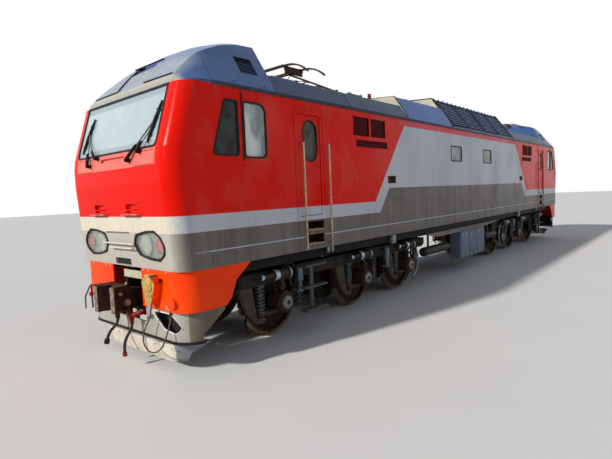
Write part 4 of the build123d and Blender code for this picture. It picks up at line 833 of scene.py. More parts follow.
def screen_finish(name):
    """Heated laminated glass: a pale base and clouds painted as a reflection of the sky, darker bands at
    top and foot.
    """
    made, shader, where = start_material(name, 0.05)
    z = maths("SUBTRACT", axes(where)[2], RAIL)
    # The pale base and its clouds are a painted reflection of the sky.
    cloud = ramp(grain(where, 1.6, 3.0, (1, 1, 0.6), 0.6), 0.38, 0.66)
    base = mix(cloud, linear((180, 200, 207)), linear((194, 212, 216)))
    top = ramp(z, 3.955, 3.985)
    foot = ramp(z, 3.335, 3.315)
    base = mix(top, base, linear((142, 162, 174)))
    base = mix(foot, base, linear((150, 164, 168)))
    clear = ramp(maths("MAXIMUM", top, foot), 0.0, 1.0, 0.22, 0.05)
    feed(shader, Base_Color=base, Transmission_Weight=clear, IOR=1.45, Specular_IOR_Level=0.7)
    bump(shader, grain(where, 1.3, 1.0), 0.15, 0.002)
    return made


screen_glass = screen_finish("screen_glass")
dress(["windshields"], [screen_glass])
cab_pane = pane_finish("cab_pane", (6, 10, 11), (52, 64, 60), 0.25, scale=4.2)
rear_pane = pane_finish("rear_pane", (140, 152, 150), (226, 232, 230), 0.06, scale=2.2)
mid_pane = pane_finish("mid_pane", (120, 128, 126), (168, 178, 180), 0.15, scale=2.2)
lamp_cover, shader, where = start_material("lamp_cover", 0.05)
clear = mix(grain(where, 9.0, 3.0), (0.9, 0.93, 0.91), (0.97, 0.98, 0.96))
feed(shader, Transmission_Weight=0.93, IOR=1.12, Base_Color=clear)
bump(shader, grain(where, 60.0, 2.0), 0.1, 0.001)


def pane_face(middle, normal):
    """0 for fixed side panes, 1 for panes amidships, 2 for lamp covers, 3 for sliding panes."""
    if middle.z - RAIL < 2.3:
        return 2
    if abs(middle.x) < 2.0:
        return 1
    return 0 if abs(middle.x) > 9.02 else 3


dress(["side_glass"], [cab_pane, mid_pane, lamp_cover, rear_pane], pane_face)
dress(["window_rubbers"], [rubber])

# Lamp clusters: a moulded grey reflector panel behind a clear cover, with a large white lamp and
# a smaller red one in bright bezels. The lenses are ribbed in rings.
LENSES = ((0.7, 1.864, 0.15), (1.06, 1.866, 0.105))
RING_PITCH = 420.0


def lens_finish(name, centre, inner, outer):
    """Pressed lens glass with rings round its middle."""
    made, shader, where = start_material(name, 0.12)
    y, z = axes(where)[1:]
    y = maths("SUBTRACT", maths("ABSOLUTE", y), centre[0])
    z = maths("SUBTRACT", z, centre[1] + RAIL)
    reach = maths("SQRT", maths("ADD", maths("MULTIPLY", y, y), maths("MULTIPLY", z, z)))
    rings = maths("SINE", maths("MULTIPLY", reach, RING_PITCH))
    tone = ramp(reach, 0.0, centre[2] * 0.95)
    base = mix(tone, linear(inner), linear(outer))
    shade = ramp(rings, -1.0, 1.0, 0.0, 0.35)
    base = mix(shade, base, linear([c * 0.72 for c in outer]))
    feed(shader, Base_Color=base, Transmission_Weight=0.1, Specular_IOR_Level=0.8)
    bump(shader, rings, 0.4, 0.002)
    return made


clear_lens = lens_finish("clear_lens", LENSES[0], (226, 226, 205), (188, 196, 184))
red_lens = lens_finish("red_lens", LENSES[1], (236, 120, 110), (190, 62, 58))
reflector = worn("reflector_panel", (168, 182, 174), (146, 160, 154), 0.3, 7.0, metal=0.2, dusty=0.2)


def lamp_face(middle, normal):
    """0 for the reflector panel, 1 and 2 for the lenses."""
    for number, (y, z, radius) in enumerate(LENSES):
        if math.hypot(abs(middle.y) - y, middle.z - RAIL - z) < radius + 0.001:
            return number + 1
    return 0


dress(["headlamps"], [reflector, clear_lens, red_lens], lamp_face)
rings = []
for y, z, radius in LENSES:
    for side in (-1, 1):
        bpy.ops.object.select_all(action="DESELECT")
        bpy.ops.mesh.primitive_torus_add(major_radius=radius + 0.006, minor_radius=0.009, major_segments=36,
            minor_segments=8, rotation=(0, math.radians(90), 0),
            location=up(-nose_reach(z) + 0.021, side * y, z))
        ring = bpy.context.active_object
        ring.scale = (1, 1, 0.6)
        bpy.ops.object.transform_apply()
        rings.append(ring)
        bpy.ops.object.shade_smooth()
chrome = worn("lamp_chrome", (206, 210, 208), (160, 168, 168), 0.22, 9.0, metal=0.8, dusty=0.2)
other_end(assemble("lamp_bezels", rings, chrome))
LAMP_OUTLINE = ((0.395, 1.87), (0.47, 2.02), (0.76, 2.072), (0.99, 2.082), (1.15, 1.99), (1.232, 1.86),
    (1.205, 1.74), (1.06, 1.638), (0.8, 1.646), (0.51, 1.702))
gaskets = []
for side in (-1, 1):
    ring = [Vector((0.82 + 0.965 * (y - 0.82), 1.862 + 0.935 * (z - 1.862))) for y, z in LAMP_OUTLINE]
    for _ in range(3):
        ring = [a.lerp(b, share) for a, b in zip(ring, ring[1:] + ring[:1]) for share in (0.25, 0.75)]
    gaskets.append([on_nose(side * y, z, 0.003) for y, z in ring])
other_end(lines("lamp_gaskets", gaskets, 0.015, rubber, closed=True))

# Windscreen wipers: pressed steel arms painted black, with a grey spring cover and a long jointed
# blade. They rest at the sides of the glass.
blade_parts = []
arm_parts = []
for top, foot, base, second in (((-1.165, 3.86), (-0.99, 3.29), (-0.54, 3.085), (-0.82, 3.19)),
        ((0.87, 3.88), (1.045, 3.31), (0.705, 3.085), (0.45, 3.19))):
    ends = [Vector(up(-nose_reach(h) - 0.016, y, h)) for y, h in (top, foot)]
    blade_parts.append(turning(ends[0], ends[1], ((0, 0.008), (0.18, 0.017), (0.5, 0.026), (0.82, 0.017),
        (1, 0.008)), 8))
    for share in (0.22, 0.4, 0.6, 0.8):
        spot = ends[0] + (ends[1] - ends[0]) * share
        blade_parts.append(block(spot - Vector((0.014, 0.03, 0.022)), spot + Vector((0.012, 0.03, 0.022)),
            0.006))
    for (y, h), share, radius in ((base, 0.4, 0.011), (second, 0.55, 0.008)):
        foot_point = Vector(up(-nose_reach(h) - 0.062, y, h))
        tip = ends[0] + (ends[1] - ends[0]) * share + Vector((-0.02, 0, 0))
        arm_parts += [turning(foot_point, foot_point + (tip - foot_point) * 0.38,
            ((0, radius + 0.014), (0.2, radius + 0.016), (0.85, radius + 0.01), (1, radius)), 10),
            turning(Vector(up(-nose_reach(h - 0.04), y, h)), foot_point + Vector((-0.012, 0, 0)),
            ((0, 0.034), (0.5, 0.03), (1, 0.022)), 12)]
blades = assemble("wiper_blades", blade_parts, rubber)
arms = assemble("wiper_arm_covers", arm_parts, seam_black)
other_end(blades)
other_end(arms)
wiper_steel = worn("wiper_steel", (120, 124, 126), (60, 62, 64), 0.4, 20.0, metal=0.5, dusty=0.2, high=5.0)
dress(["wipers"], [wiper_steel])

# Skirts, deflectors and rail guards: bent steel plates, orange above, grey and pale grey below,
# bolted to brackets. The edge of each cut-out is painted white.
orange_paint = worn("orange_paint", (255, 72, 0), (255, 56, 0), 0.28, 1.5, dirt=(200, 70, 10), dusty=0.35,
    coat=0.3, low=0.8, high=1.7, grit=0.006)
dress(["skirts"], [orange_paint])
deflector_grey = worn("deflector_grey", (172, 170, 160), (156, 154, 146), 0.4, 2.5, dirt=(104, 92, 78),
    dusty=0.5)
# The deflectors' side faces are a darker grey: painted shade on the side away from the sun.
deflector_shaded_side = worn("deflector_shaded_side", (128, 120, 106), (112, 105, 94), 0.45, 2.5, dirt=(84, 72, 60),
    dusty=0.6)
dress(["deflectors"], [deflector_grey, deflector_shaded_side], lambda middle, normal: 1 if abs(normal.y) > 0.72
    else 0)
guard_pale = worn("guard_pale", (222, 216, 202), (206, 200, 188), 0.3, 2.0, dirt=(136, 110, 84), dusty=0.55,
    coat=0.3, low=0.1, high=0.6)
guard_shade = worn("guard_shade", (134, 140, 148), (118, 124, 132), 0.35, 2.0, dirt=(96, 84, 70), dusty=0.5,
    low=0.1, high=0.6)
dress(["rail_guards"], [guard_pale, guard_shade], lambda middle, normal: 1 if abs(normal.y) > 0.42 else 0)
DEFLECTOR_REACH, DEFLECTOR_BEND = 10.15, 0.38
DEFLECTOR_HOLE = ((0.6, 0.885), (1.13, 0.885), (1.31, 0.7), (1.21, 0.6), (0.92, 0.64))
rims = []
for side in (-1, 1):
    corners = [Vector((side * y, z)) for y, z in DEFLECTOR_HOLE]
    run = []
    for i, corner in enumerate(corners):
        before, after = corners[i - 1], corners[(i + 1) % len(corners)]
        for share in (0.0, 0.5, 1.0):
            into = corner + (before - corner).normalized() * 0.045
            out = corner + (after - corner).normalized() * 0.045
            spot = into * (1 - share) ** 2 + corner * 2 * share * (1 - share) + out * share ** 2
            bend = max(0.0, abs(spot.x) - 1.1)
            back = DEFLECTOR_BEND - math.sqrt(max(0.0, DEFLECTOR_BEND ** 2 - bend ** 2))
            run.append(up(-DEFLECTOR_REACH - 0.002 + back, spot.x, spot.y))
    rims.append(run)
white_edge = worn("white_edge", (232, 232, 228), (212, 212, 208), 0.4, 9.0, dusty=0.2)
other_end(lines("deflector_rims", rims, 0.009, white_edge, closed=True))
# A thick black tube along the deflector's lower edge: painted shadow in the gap between the deflector and
# the rail guard.
gap_shadow_run = []
for side in (-1, 1):
    arc = []
    for step in range(8):
        angle = math.radians(90 * step / 8)
        aside = side * (1.48 - DEFLECTOR_BEND * (1 - math.sin(angle)))
        arc.append(up(-DEFLECTOR_REACH + DEFLECTOR_BEND * (1 - math.cos(angle)), aside, 0.4725))
    gap_shadow_run += arc[::-1] if side < 0 else arc
other_end(lines("deflector_gap_shadow", [gap_shadow_run], 0.022, seam_black))


def bolt(x, y, z, axis, size=0.016):
    """A hexagon bolt head with its washer, standing out along an axis."""
    washer = turning((x, y, z), (x + axis[0] * size * 0.3, y + axis[1] * size * 0.3,
        z + axis[2] * size * 0.3), ((0, size * 1.25), (1, size * 1.15)), 12)
    head = turning((x, y, z), (x + axis[0] * size, y + axis[1] * size, z + axis[2] * size),
        ((0, size), (1, size * 0.94)), 6)
    return [washer, head]


bolts = []
for y in (-1.02, -0.78, -0.56, 0.56, 0.78, 1.02):
    bolts += bolt(-10.12, y, 0.352 + RAIL, (-1, 0, 0), 0.012)
for y in (-1.12, -0.66, -0.52, 0.52, 0.66, 1.12):
    bolts += bolt(-10.19, y, 0.965 + RAIL, (-1, 0, 0), 0.011)
    bolts += bolt(-10.19, y, 1.485 + RAIL, (-1, 0, 0), 0.011)
other_end(assemble("end_bolts", bolts, bright_rail))

# Automatic couplers: rough steel castings, brown with rust, polished where they rub. The lock, its
# lever and chain, the yellow jumper socket and the brake cocks are separate castings.
rusty = worn("rusty_steel", (58, 34, 28), (32, 22, 20), 0.62, 6.0, metal=0.15, dirt=(128, 92, 70),
    dusty=0.4, low=0.8, high=1.4, grit=0.006)
coupler_face_steel = worn("coupler_face_steel", (150, 138, 124), (104, 84, 70), 0.45, 14.0, metal=0.4,
    dirt=(86, 60, 48), dusty=0.6, low=0.8, high=1.4, grit=0.004)


def coupler_face(middle, normal):
    """0 for the casting, 1 for the rubbed edges of its teeth."""
    return 1 if abs(middle.x) > 10.55 and abs(normal.x) > 0.6 else 0


dress(["coupler_front", "coupler_rear"], [rusty, coupler_face_steel], coupler_face)
yellow_paint = worn("yellow_paint", (214, 178, 100), (176, 138, 84), 0.5, 20.0, dirt=(70, 52, 38),
    dusty=0.95, low=0.9, high=1.5)
red_paint = worn("red_paint", (176, 34, 34), (140, 26, 28), 0.45, 14.0, dirt=(80, 46, 40), dusty=0.6,
    high=1.6)
cable_blue = worn("cable_blue", (70, 92, 190), (210, 214, 222), 0.45, 40.0, dusty=0.3)
chassis = worn("chassis_paint", (35, 34, 32), (22, 21, 20), 0.58, 5.0, dirt=(96, 82, 66), dusty=0.5,
    high=1.5, grit=0.004)
dark_steel = worn("dark_steel", (58, 50, 46), (40, 36, 34), 0.5, 12.0, metal=0.3, dirt=(112, 84, 64),
    dusty=0.5, high=1.6)


def fitting_face(middle, normal):
    """0 socket, 1 its black top, 2 cable gland, 3 red cock, 4 dark steel, 5 the socket's side."""
    turned = -1 if middle.x > 0 else 1
    y, z = turned * middle.y, middle.z - RAIL
    if -0.99 < y < -0.63 and z > 1.005 and normal.y * turned < -0.5:
        return 5
    if -0.99 < y < -0.63 and z > 1.005:
        return 1 if z > 1.375 else 0
    if abs(y + 0.78) < 0.035 and z > 0.92:
        return 2
    if abs(y + 0.26) < 0.05 and z < 0.9:
        return 3
    return 4


dress(["end_fittings"], [yellow_paint, niche_dark, cable_blue, red_paint, dark_steel, orange_paint],
    fitting_face)
dress(["hose_heads"], [red_paint, rubber], lambda middle, normal: 0 if middle.y < 0.0 else 1)
dress(["draft_boxes"], [chassis, slot_lip], lambda middle, normal: 1 if abs(middle.x) > 10.05
    and middle.z > 1.3 else 0)

fit_parts = [block(up(-10.345, 0.985, 0.935), up(-10.295, 1.065, 1.005), 0.012),
    block(up(-10.262, -1.01, 1.33), up(-10.196, -0.978, 1.4), 0.01),
    turning(up(-10.3, -0.29, 0.79), up(-10.322, -0.56, 0.88),
    ((0, 0.024), (0.2, 0.03), (0.55, 0.018), (1, 0.024)), 12),
    turning(up(-10.3, -0.26, 0.8), up(-10.345, -0.17, 0.86), ((0, 0.02), (1, 0.014)), 10),
    block(up(-10.345, -0.6, 0.85), up(-10.3, -0.54, 0.905), 0.01)]
other_end(assemble("red_cocks", fit_parts, red_paint))
cap_parts = [turning(up(-10.3, y, 0.83), up(-10.3, y, 0.862), ((0, 0.03), (0.6, 0.03), (1, 0.016)), 12)
    for y in (-0.26, 0.18)]
cap_parts += [rod((-10.3, y, z - 0.01), (-10.3, y, z + 0.006), 0.029, 14) for y in (-0.26, 0.18)
    for z in (0.72, 0.7)]
assemble("hose_clips", cap_parts, dark_steel)
socket_parts = [turning(up(-10.31, -0.812, 1.318), up(-10.326, -0.812, 1.318),
    ((0, 0.125), (0.5, 0.125), (1, 0.105)), 28), block(up(-10.322, -0.905, 1.13), up(-10.305, -0.735, 1.18),
    0.008), block(up(-10.326, -0.87, 1.415), up(-10.2, -0.754, 1.448), 0.01)]
other_end(assemble("socket_lid", socket_parts, yellow_paint))
lock_parts = [block(up(-10.47, -0.06, 0.93), up(-10.415, 0.0, 1.16), 0.014),
    turning(up(-10.36, -0.292, 1.0), up(-10.36, -0.318, 1.0), ((0, 0.055), (1, 0.045)), 14),
    turning(up(-10.46, -0.284, 1.14), up(-10.46, -0.305, 1.14), ((0, 0.03), (1, 0.024)), 12),
    block(up(-10.56, -0.23, 1.235), up(-10.3, -0.205, 1.262), 0.006),
    block(up(-10.56, 0.205, 1.235), up(-10.3, 0.23, 1.262), 0.006)]
lock_front = assemble("coupler_lock_front", lock_parts, coupler_face_steel,
    "coupler_body_front")
other_end(lock_front, "coupler_body_rear").name = "coupler_lock_rear"
lamp_place = (up(-10.19, -1.095, 0.985), up(-10.212, -1.095, 0.985))
marker = turning(*lamp_place, ((0, 0.03), (0.7, 0.03), (1, 0.02)), 14)
other_end(assemble("marker_lamp", [marker], yellow_paint))
lever = ((1.0, 1.115), (1.06, 1.1), (1.235, 0.93), (1.265, 0.9), (1.28, 0.69))
other_end(lines("uncoupling_handle", [[up(-10.32, y, z) for y, z in lever]], 0.012, dark_steel))

# Webs behind the deflectors and a plate behind the notch over the coupler, in near-black paint as painted
# shade behind the deflector holes and the notch.
webs = [block(up(-9.985, side * 0.43, 0.52), up(-9.965, side * 1.412, 0.965), 0.004) for side in (-1, 1)]
webs.append(block(up(-10.165, -0.255, 1.515), up(-10.155, 0.315, 1.67), 0.002))
other_end(assemble("deflector_webs", webs, grille_dark))

# Bogies: welded box frames in black chassis paint, with cast legs that guide the axlebox arms.
# The forward legs and the ladders beside the doors are bare and dusty.
leg_brown = worn("leg_brown", (74, 66, 56), (50, 45, 40), 0.6, 4.0, dirt=(120, 104, 84), dusty=0.5,
    grit=0.004)
ladder_grey = worn("ladder_grey", (84, 88, 88), (60, 62, 62), 0.5, 9.0, metal=0.2, dirt=(120, 108, 92),
    dusty=0.5)


def frame_face(middle, normal):
    """0 for the frame, 1 for the legs below it, 2 for the ladder."""
    if abs(middle.y) > 1.395 or (abs(middle.y) > 1.185 and abs(abs(middle.x) - 7.5) < 0.04):
        return 2
    return 1 if abs(middle.y) > 1.045 and middle.z - RAIL < 0.999 else 0


dress(["bogie_frame_front", "bogie_frame_rear"], [chassis, leg_brown, ladder_grey], frame_face)
BOGIE_AXLES = (-7.95, -5.4, -3.45)
AXLE_Z = 0.655


def both_bogies(name, parts, finish, replaced=None):
    """A piece on the front bogie and the same piece, turned, on the rear one."""
    front = joined(parts, finish)
    rear = front.copy()
    rear.data = front.data.copy()
    rear.data.transform(Matrix.Rotation(math.pi, 4, "Z"))
    link(rear)
    for item, end in ((front, "front"), (rear, "rear")):
        item.name = name + "_" + end
        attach(item, "bogie_" + end)
        if replaced:
            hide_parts(replaced + "_" + end)


frame_parts = []
treads = []
for side in (-1, 1):
    for axle in BOGIE_AXLES:
        for x in (axle - 0.905, axle - 0.765):
            frame_parts.append(block(up(x - 0.008, side * 1.052, 0.985), up(x + 0.008, side * 1.158, 1.05),
                0.003))
        frame_parts.append(block(up(axle - 1.0, side * 1.176, 1.02), up(axle - 0.68, side * 1.192, 1.2),
            0.005))
        for x in (axle - 0.96, axle - 0.72):
            for z in (1.06, 1.16):
                frame_parts += bolt(x, side * 1.192, z + RAIL, (0, side, 0), 0.015)
    for z in (0.44, 0.85, 1.23):
        treads.append(block((-7.742, side * 1.398, z + RAIL - 0.02),
            (-7.138, side * 1.552, z + RAIL + 0.014), 0.006))
        for x in (-7.66, -7.55, -7.44, -7.33, -7.22):
            treads.append(block((x - 0.012, side * 1.41, z + RAIL + 0.01),
                (x + 0.012, side * 1.54, z + RAIL + 0.02), 0.003))
    treads.append(block(up(-7.54, side * 1.436, 0.43), up(-7.46, side * 1.484, 1.236), 0.008))
both_bogies("bogie_frame_plates", frame_parts, chassis)
both_bogies("ladder_treads", treads, ladder_grey)
low_rails = []
for side in (-1, 1):
    low_rails.append([up(x, side * 1.06, z) for x, z in ((-8.7, 1.235), (-8.3, 1.262), (-5.0, 1.262),
        (-2.7, 1.235))])
    for axle in BOGIE_AXLES:
        low_rails.append([up(axle - 0.3, side * y, z) for y, z in ((1.06, 1.262), (1.215, 1.262),
            (1.23, 1.21))])
both_bogies("bogie_air_pipes", [tube("air_pipes", low_rails, 0.011)], chassis)

# Coil springs: round bar wound cold, in worn black enamel, between pressed cups, over a steel stop.
spring_steel = worn("spring_steel", (96, 104, 106), (62, 66, 66), 0.42, 14.0, metal=0.3, dirt=(110, 94, 76),
    dusty=0.55)
bpy.ops.object.select_all(action="DESELECT")
bpy.ops.mesh.primitive_circle_add(vertices=8, radius=0.0145, location=(0.07, 0, 0),
    rotation=(math.pi / 2, 0, 0))
coil = bpy.context.active_object
bpy.ops.object.transform_apply()
COIL_TURNS = 7
winding = coil.modifiers.new("winding", "SCREW")
winding.axis = "Z"
winding.angle = math.radians(360 * COIL_TURNS)
winding.screw_offset = 0.44
winding.steps = winding.render_steps = 18 * COIL_TURNS
bpy.ops.object.modifier_apply(modifier="winding")
edit(coil, bpy.ops.mesh.normals_make_consistent, inside=False)
bpy.ops.object.shade_smooth_by_angle(angle=math.radians(60))
places = []
seats = []
for side in (-1, 1):
    for axle in BOGIE_AXLES:
        for x in (axle - 0.48, axle + 0.48):
            places.append(Matrix.Translation((x, side * 1.1, 0.57)))
            seats.append(turning((x, side * 1.1, 0.5502), (x, side * 1.1, 1.0298),
                ((0, 0.088), (0.035, 0.088), (0.045, 0.044), (0.955, 0.044), (0.965, 0.088), (1, 0.088)),
                16))
both_bogies("coil_springs", copies(coil, places) + seats, spring_steel, "springs")

# Axleboxes, brake cylinders and dampers: cast steel with bright covers, pale grey damper tubes, and
# a machined band round each cylinder.
cover_grey = worn("cover_grey", (150, 160, 162), (112, 118, 116), 0.4, 16.0, metal=0.25, dirt=(96, 84, 70),
    dusty=0.45)
damper_grey = worn("damper_grey", (128, 146, 160), (104, 118, 130), 0.38, 9.0, dirt=(96, 90, 82), dusty=0.4)
bright_band = worn("bright_band", (190, 212, 232), (150, 172, 194), 0.3, 12.0, metal=0.3, dirt=(96, 90, 82),
    dusty=0.3)


def gear_face(middle, normal):
    """0 for castings, 1 for axlebox covers, 2 for dampers."""
    if abs(middle.y) > 1.286 and middle.z - RAIL < 0.8:
        return 1
    if abs(middle.y) > 1.25 and min(abs(abs(middle.x) - 7.61), abs(abs(middle.x) - 4.62)) < 0.05:
        return 2
    return 0


dress(["bogie_fittings_front", "bogie_fittings_rear"], [dark_steel, cover_grey, damper_grey], gear_face)
covers = []
bands = []
hangers = []
dampers = []
for side in (-1, 1):
    out = (0, side, 0)
    for axle in BOGIE_AXLES:
        hub = Vector((axle, side * 1.285, AXLE_Z))
        covers.append(turning(hub - Vector((0, side * 0.01, 0)), hub + Vector((0, side * 0.03, 0)),
            ((0, 0.122), (0.5, 0.122), (0.8, 0.112), (1, 0.092)), 8))
        for step in range(8):
            angle = math.radians(45 * step)
            covers += bolt(axle + 0.09 * math.cos(angle), side * 1.312, AXLE_Z + 0.09 * math.sin(angle),
                out, 0.012)
            angle = math.radians(45 * step + 22.5)
            hangers += bolt(axle + 0.168 * math.cos(angle), side * 1.258, AXLE_Z + 0.168 * math.sin(angle),
                out, 0.014)
        hangers.append(turning(hub + Vector((0, side * 0.02, 0)), hub + Vector((0, side * 0.048, 0)),
            ((0, 0.044), (0.6, 0.044), (1, 0.026)), 14))
        centre = Vector((axle, side * 1.29, 1.18))
        for a, b, radius in ((0.024, 0.048, 0.1035), (-0.33, -0.225, 0.0915)):
            bands.append(turning(centre + Vector((a, 0, 0)), centre + Vector((b, 0, 0)),
                ((0, radius - 0.004), (0.15, radius), (0.85, radius), (1, radius - 0.004)), 24))
        bands.append(turning(centre - Vector((0.545, 0, 0)), centre - Vector((0.612, 0, 0)),
            ((0, 0.036), (0.35, 0.05), (0.8, 0.044), (1, 0.026)), 16))
        hangers += [turning(centre - Vector((0.378, 0, 0)), centre - Vector((0.548, 0, 0)),
            ((0, 0.066), (0.2, 0.05), (0.8, 0.044), (1, 0.036)), 14),
            block((axle - 0.085, side * 1.18, 0.87), (axle + 0.005, side * 1.225, 1.1), 0.014),
            rod((axle - 0.04, side * 1.165, 0.96), (axle - 0.04, side * 1.25, 0.96), 0.04, 14)]
        for x in (axle - 0.53, axle + 0.53):
            hangers.append(rod((x, side * 1.02, 0.52), (x, side * 1.186, 0.52), 0.034, 12))
        hangers.append(turning((axle + 0.235, side * 1.175, 0.83), (axle + 0.235, side * 1.26, 0.83),
            ((0, 0.05), (0.8, 0.05), (1, 0.036)), 14))
    for x in (-7.61, -4.62):
        dampers += [turning((x, side * 1.3, 0.98), (x, side * 1.3, 1.236),
            ((0, 0.046), (0.06, 0.056), (0.92, 0.056), (1, 0.044)), 18),
            turning((x, side * 1.3, 0.8), (x, side * 1.3, 0.86), ((0, 0.038), (0.5, 0.044), (1, 0.036)),
            14), block((x - 0.036, side * 1.18, 0.775), (x + 0.036, side * 1.335, 0.812), 0.008)]
both_bogies("axlebox_covers", covers, cover_grey)
both_bogies("cylinder_bands", bands, bright_band)
both_bogies("brake_gear", hangers, dark_steel)
both_bogies("damper_tubes", dampers, damper_grey)
guards = []
for side in (-1, 1):
    ring = []
    for step in range(13):
        angle = math.radians(-80 + 170 * step / 12)
        ring.append((-3.45 + 0.02 + 0.36 * math.cos(angle), side * 1.262, 0.76 + 0.42 * math.sin(angle)))
    guards.append(ring)
both_bogies("cable_guards", [tube("cable_guard", guards, 0.026)], cover_grey)
HOSE_ROUTES = (((-0.1, 1.3, 1.262), (-0.1, 1.33, 1.33), (0.1, 1.34, 1.34), (0.24, 1.32, 1.22),
    (0.26, 1.29, 1.02), (0.2, 1.27, 0.86)), ((-0.2, 1.2, 1.24), (-0.3, 1.25, 1.12), (-0.26, 1.25, 0.94),
    (-0.17, 1.22, 0.8)))
hose_runs = []
for side in (-1, 1):
    for axle in BOGIE_AXLES:
        for route in HOSE_ROUTES:
            hose_runs.append([(axle + x, side * y, z) for x, y, z in route])
both_bogies("bogie_hoses", [tube("hose_runs", hose_runs, 0.011, smooth=True)], rubber)

# Wheels: forged steel, black with brake dust, the treads polished by the rail and a brown bloom at
# the rims. The brake blocks hang in front of and behind them.
wheel_dark = worn("wheel_dark", (30, 27, 25), (20, 18, 18), 0.6, 7.0, dirt=(88, 66, 50), dusty=0.5)
tyre_steel = worn("tyre_steel", (176, 166, 150), (146, 136, 122), 0.28, 10.0, metal=0.6, dirt=(120, 84, 56),
    dusty=0.5)
rim_brown = worn("rim_brown", (44, 36, 31), (32, 27, 25), 0.5, 5.0, metal=0.2, dirt=(176, 136, 96),
    dusty=1.0, low=0.05, high=0.45)


def wheel_face(middle, normal):
    """0 for the disc and axle, 1 for the running tread, 2 for the rim's sides."""
    spot = min(BOGIE_AXLES, key=lambda axle: abs(abs(middle.x) - abs(axle)))
    span = math.hypot(abs(middle.x) - abs(spot), middle.z - AXLE_Z)
    if span > 0.606 and abs(normal.y) < 0.5:
        return 1
    return 2 if span > 0.575 else 0


dress(["wheelset_%d" % i for i in range(1, 7)], [wheel_dark, tyre_steel, rim_brown], wheel_face)
shoes = []
for side in (-1, 1):
    for axle in BOGIE_AXLES:
        for way in (-1, 1):
            shoe = block((axle + way * 0.64 - 0.022, side * 0.762, 0.5),
                (axle + way * 0.64 + 0.022, side * 0.852, 0.84), 0.0)
            edit(shoe, bpy.ops.mesh.subdivide, number_cuts=5)
            for vertex in shoe.data.vertices:
                rise = vertex.co.z - AXLE_Z
                inner = vertex.co.x * way < (axle * way + 0.64)
                reach = 0.633 if inner else 0.69
                vertex.co.x = axle + way * math.sqrt(max(0.0, reach ** 2 - rise ** 2))
            shoes.append(soften(shoe, 0.0))
            hung = axle + way * 0.705
            shoes.append(block((hung - 0.018, side * 0.775, 0.64), (hung + 0.018, side * 0.825, 1.055),
                0.006))
            shoes.append(rod((hung, side * 0.77, 1.045), (hung, side * 1.004, 1.045), 0.022, 12))
both_bogies("brake_shoes", shoes, rusty)

# Traction motors: cast frames with cooling ribs, oily and black. Sand pipes stand by the end wheels.
oily = worn("oily_iron", (40, 38, 36), (26, 25, 25), 0.45, 4.0, dirt=(84, 72, 58), dusty=0.5)
dress(["motors_front", "motors_rear"], [oily])
ribs = []
for axle, toward in zip(BOGIE_AXLES, (1, -1, -1)):
    centre = axle + toward * 0.6
    for y in (-0.42, -0.28, -0.14, 0.14, 0.28, 0.42):
        ribs.append(rod((centre, y - 0.012, AXLE_Z), (centre, y + 0.012, AXLE_Z), 0.412, 32))
    for side in (-1, 1):
        ribs.append(turning((centre, side * 0.555, AXLE_Z), (centre, side * 0.585, AXLE_Z),
            ((0, 0.33), (0.5, 0.33), (1, 0.3)), 28))
both_bogies("motor_ribs", ribs, oily)
sand = [[(x, side * 0.93, 1.1), (x, side * 0.92, 0.62), (x + way * 0.02, side * 0.86, 0.33),
    (x + way * 0.09, side * 0.8, 0.17), (x + way * 0.13, side * 0.795, 0.13)] for side in (-1, 1)
    for x, way in ((-8.6, 1), (-2.8, -1))]
both_bogies("sand_pipes", [tube("sand_pipe", sand, 0.024, smooth=True)], rubber)

# Underframe, battery boxes and reservoirs: dark chassis paint, with grey-blue boxes whose lids have
# bright worn edges, and two steel air reservoirs in straps.
under_black = worn("under_black", (18, 17, 17), (13, 12, 12), 0.6, 4.0, dirt=(66, 58, 50), dusty=0.3,
    high=1.8)
dress(["underframe"], [under_black])
box_blue = worn("box_blue", (112, 128, 146), (96, 108, 124), 0.4, 2.0, dirt=(92, 86, 78), dusty=0.5)
dress(["battery_boxes"], [box_blue])
duct_grey = worn("duct_grey", (128, 122, 112), (104, 100, 94), 0.5, 2.5, dirt=(84, 76, 66), dusty=0.5,
    high=1.9)
reservoir_black = worn("reservoir_black", (52, 50, 48), (36, 35, 34), 0.45, 4.0, dirt=(108, 94, 76),
    dusty=0.5)
dress(["underbody_ducts"], [duct_grey, reservoir_black], lambda middle, normal: 1 if middle.z - RAIL < 1.225
    or abs(middle.y) < 1.39 else 0)
fittings = []
for side in (-1, 1):
    face = side * 1.4125
    for i in range(3):
        middle = -side * ((0.65 * i - 0.675) + (0.65 * i - 0.075)) / 2
        for spot in (middle - 0.17, middle + 0.17):
            fittings += [block((spot - 0.018, face, 1.08), (spot + 0.018, face + side * 0.018, 1.15),
                0.005), turning((spot, face + side * 0.012, 1.112), (spot, face + side * 0.03, 1.112),
                ((0, 0.014), (1, 0.01)), 10), rod((spot - 0.045, face + side * 0.008, 0.49),
                (spot + 0.045, face + side * 0.008, 0.49), 0.012, 10)]
    fittings.append(block(up(side * 0.705, side * 1.395, 1.225), up(-side * 1.255, side * 1.4155, 1.242),
        0.004))
assemble("box_catches", fittings, bright_band)
sill_runs = []
for side in (-1, 1):
    sill_runs += [[up(-2.45, side * 1.36, 1.345), up(2.45, side * 1.36, 1.345)],
        [up(-2.45, side * 1.33, 1.31), up(2.45, side * 1.33, 1.31)]]
lines("sill_pipes", sill_runs, 0.014, under_black)
brackets = []
hanging = []
for side in (-1, 1):
    for x in (-7.02, -6.9, 6.9, 7.02):
        brackets.append(block(up(x - 0.03, side * 1.47, 1.4), up(x + 0.03, side * 1.52, 1.506), 0.006))
    for x in (-4.62, 4.62):
        brackets.append(block(up(x - 0.075, side * 1.42, 1.3), up(x + 0.075, side * 1.51, 1.5), 0.01))
        hanging.append(turning(up(x, side * 1.43, 1.3), up(x, side * 1.43, 1.38),
            ((0, 0.05), (0.7, 0.05), (1, 0.04)), 16))
assemble("sill_brackets", brackets, cover_grey)
assemble("sill_damper_heads", hanging, damper_grey)

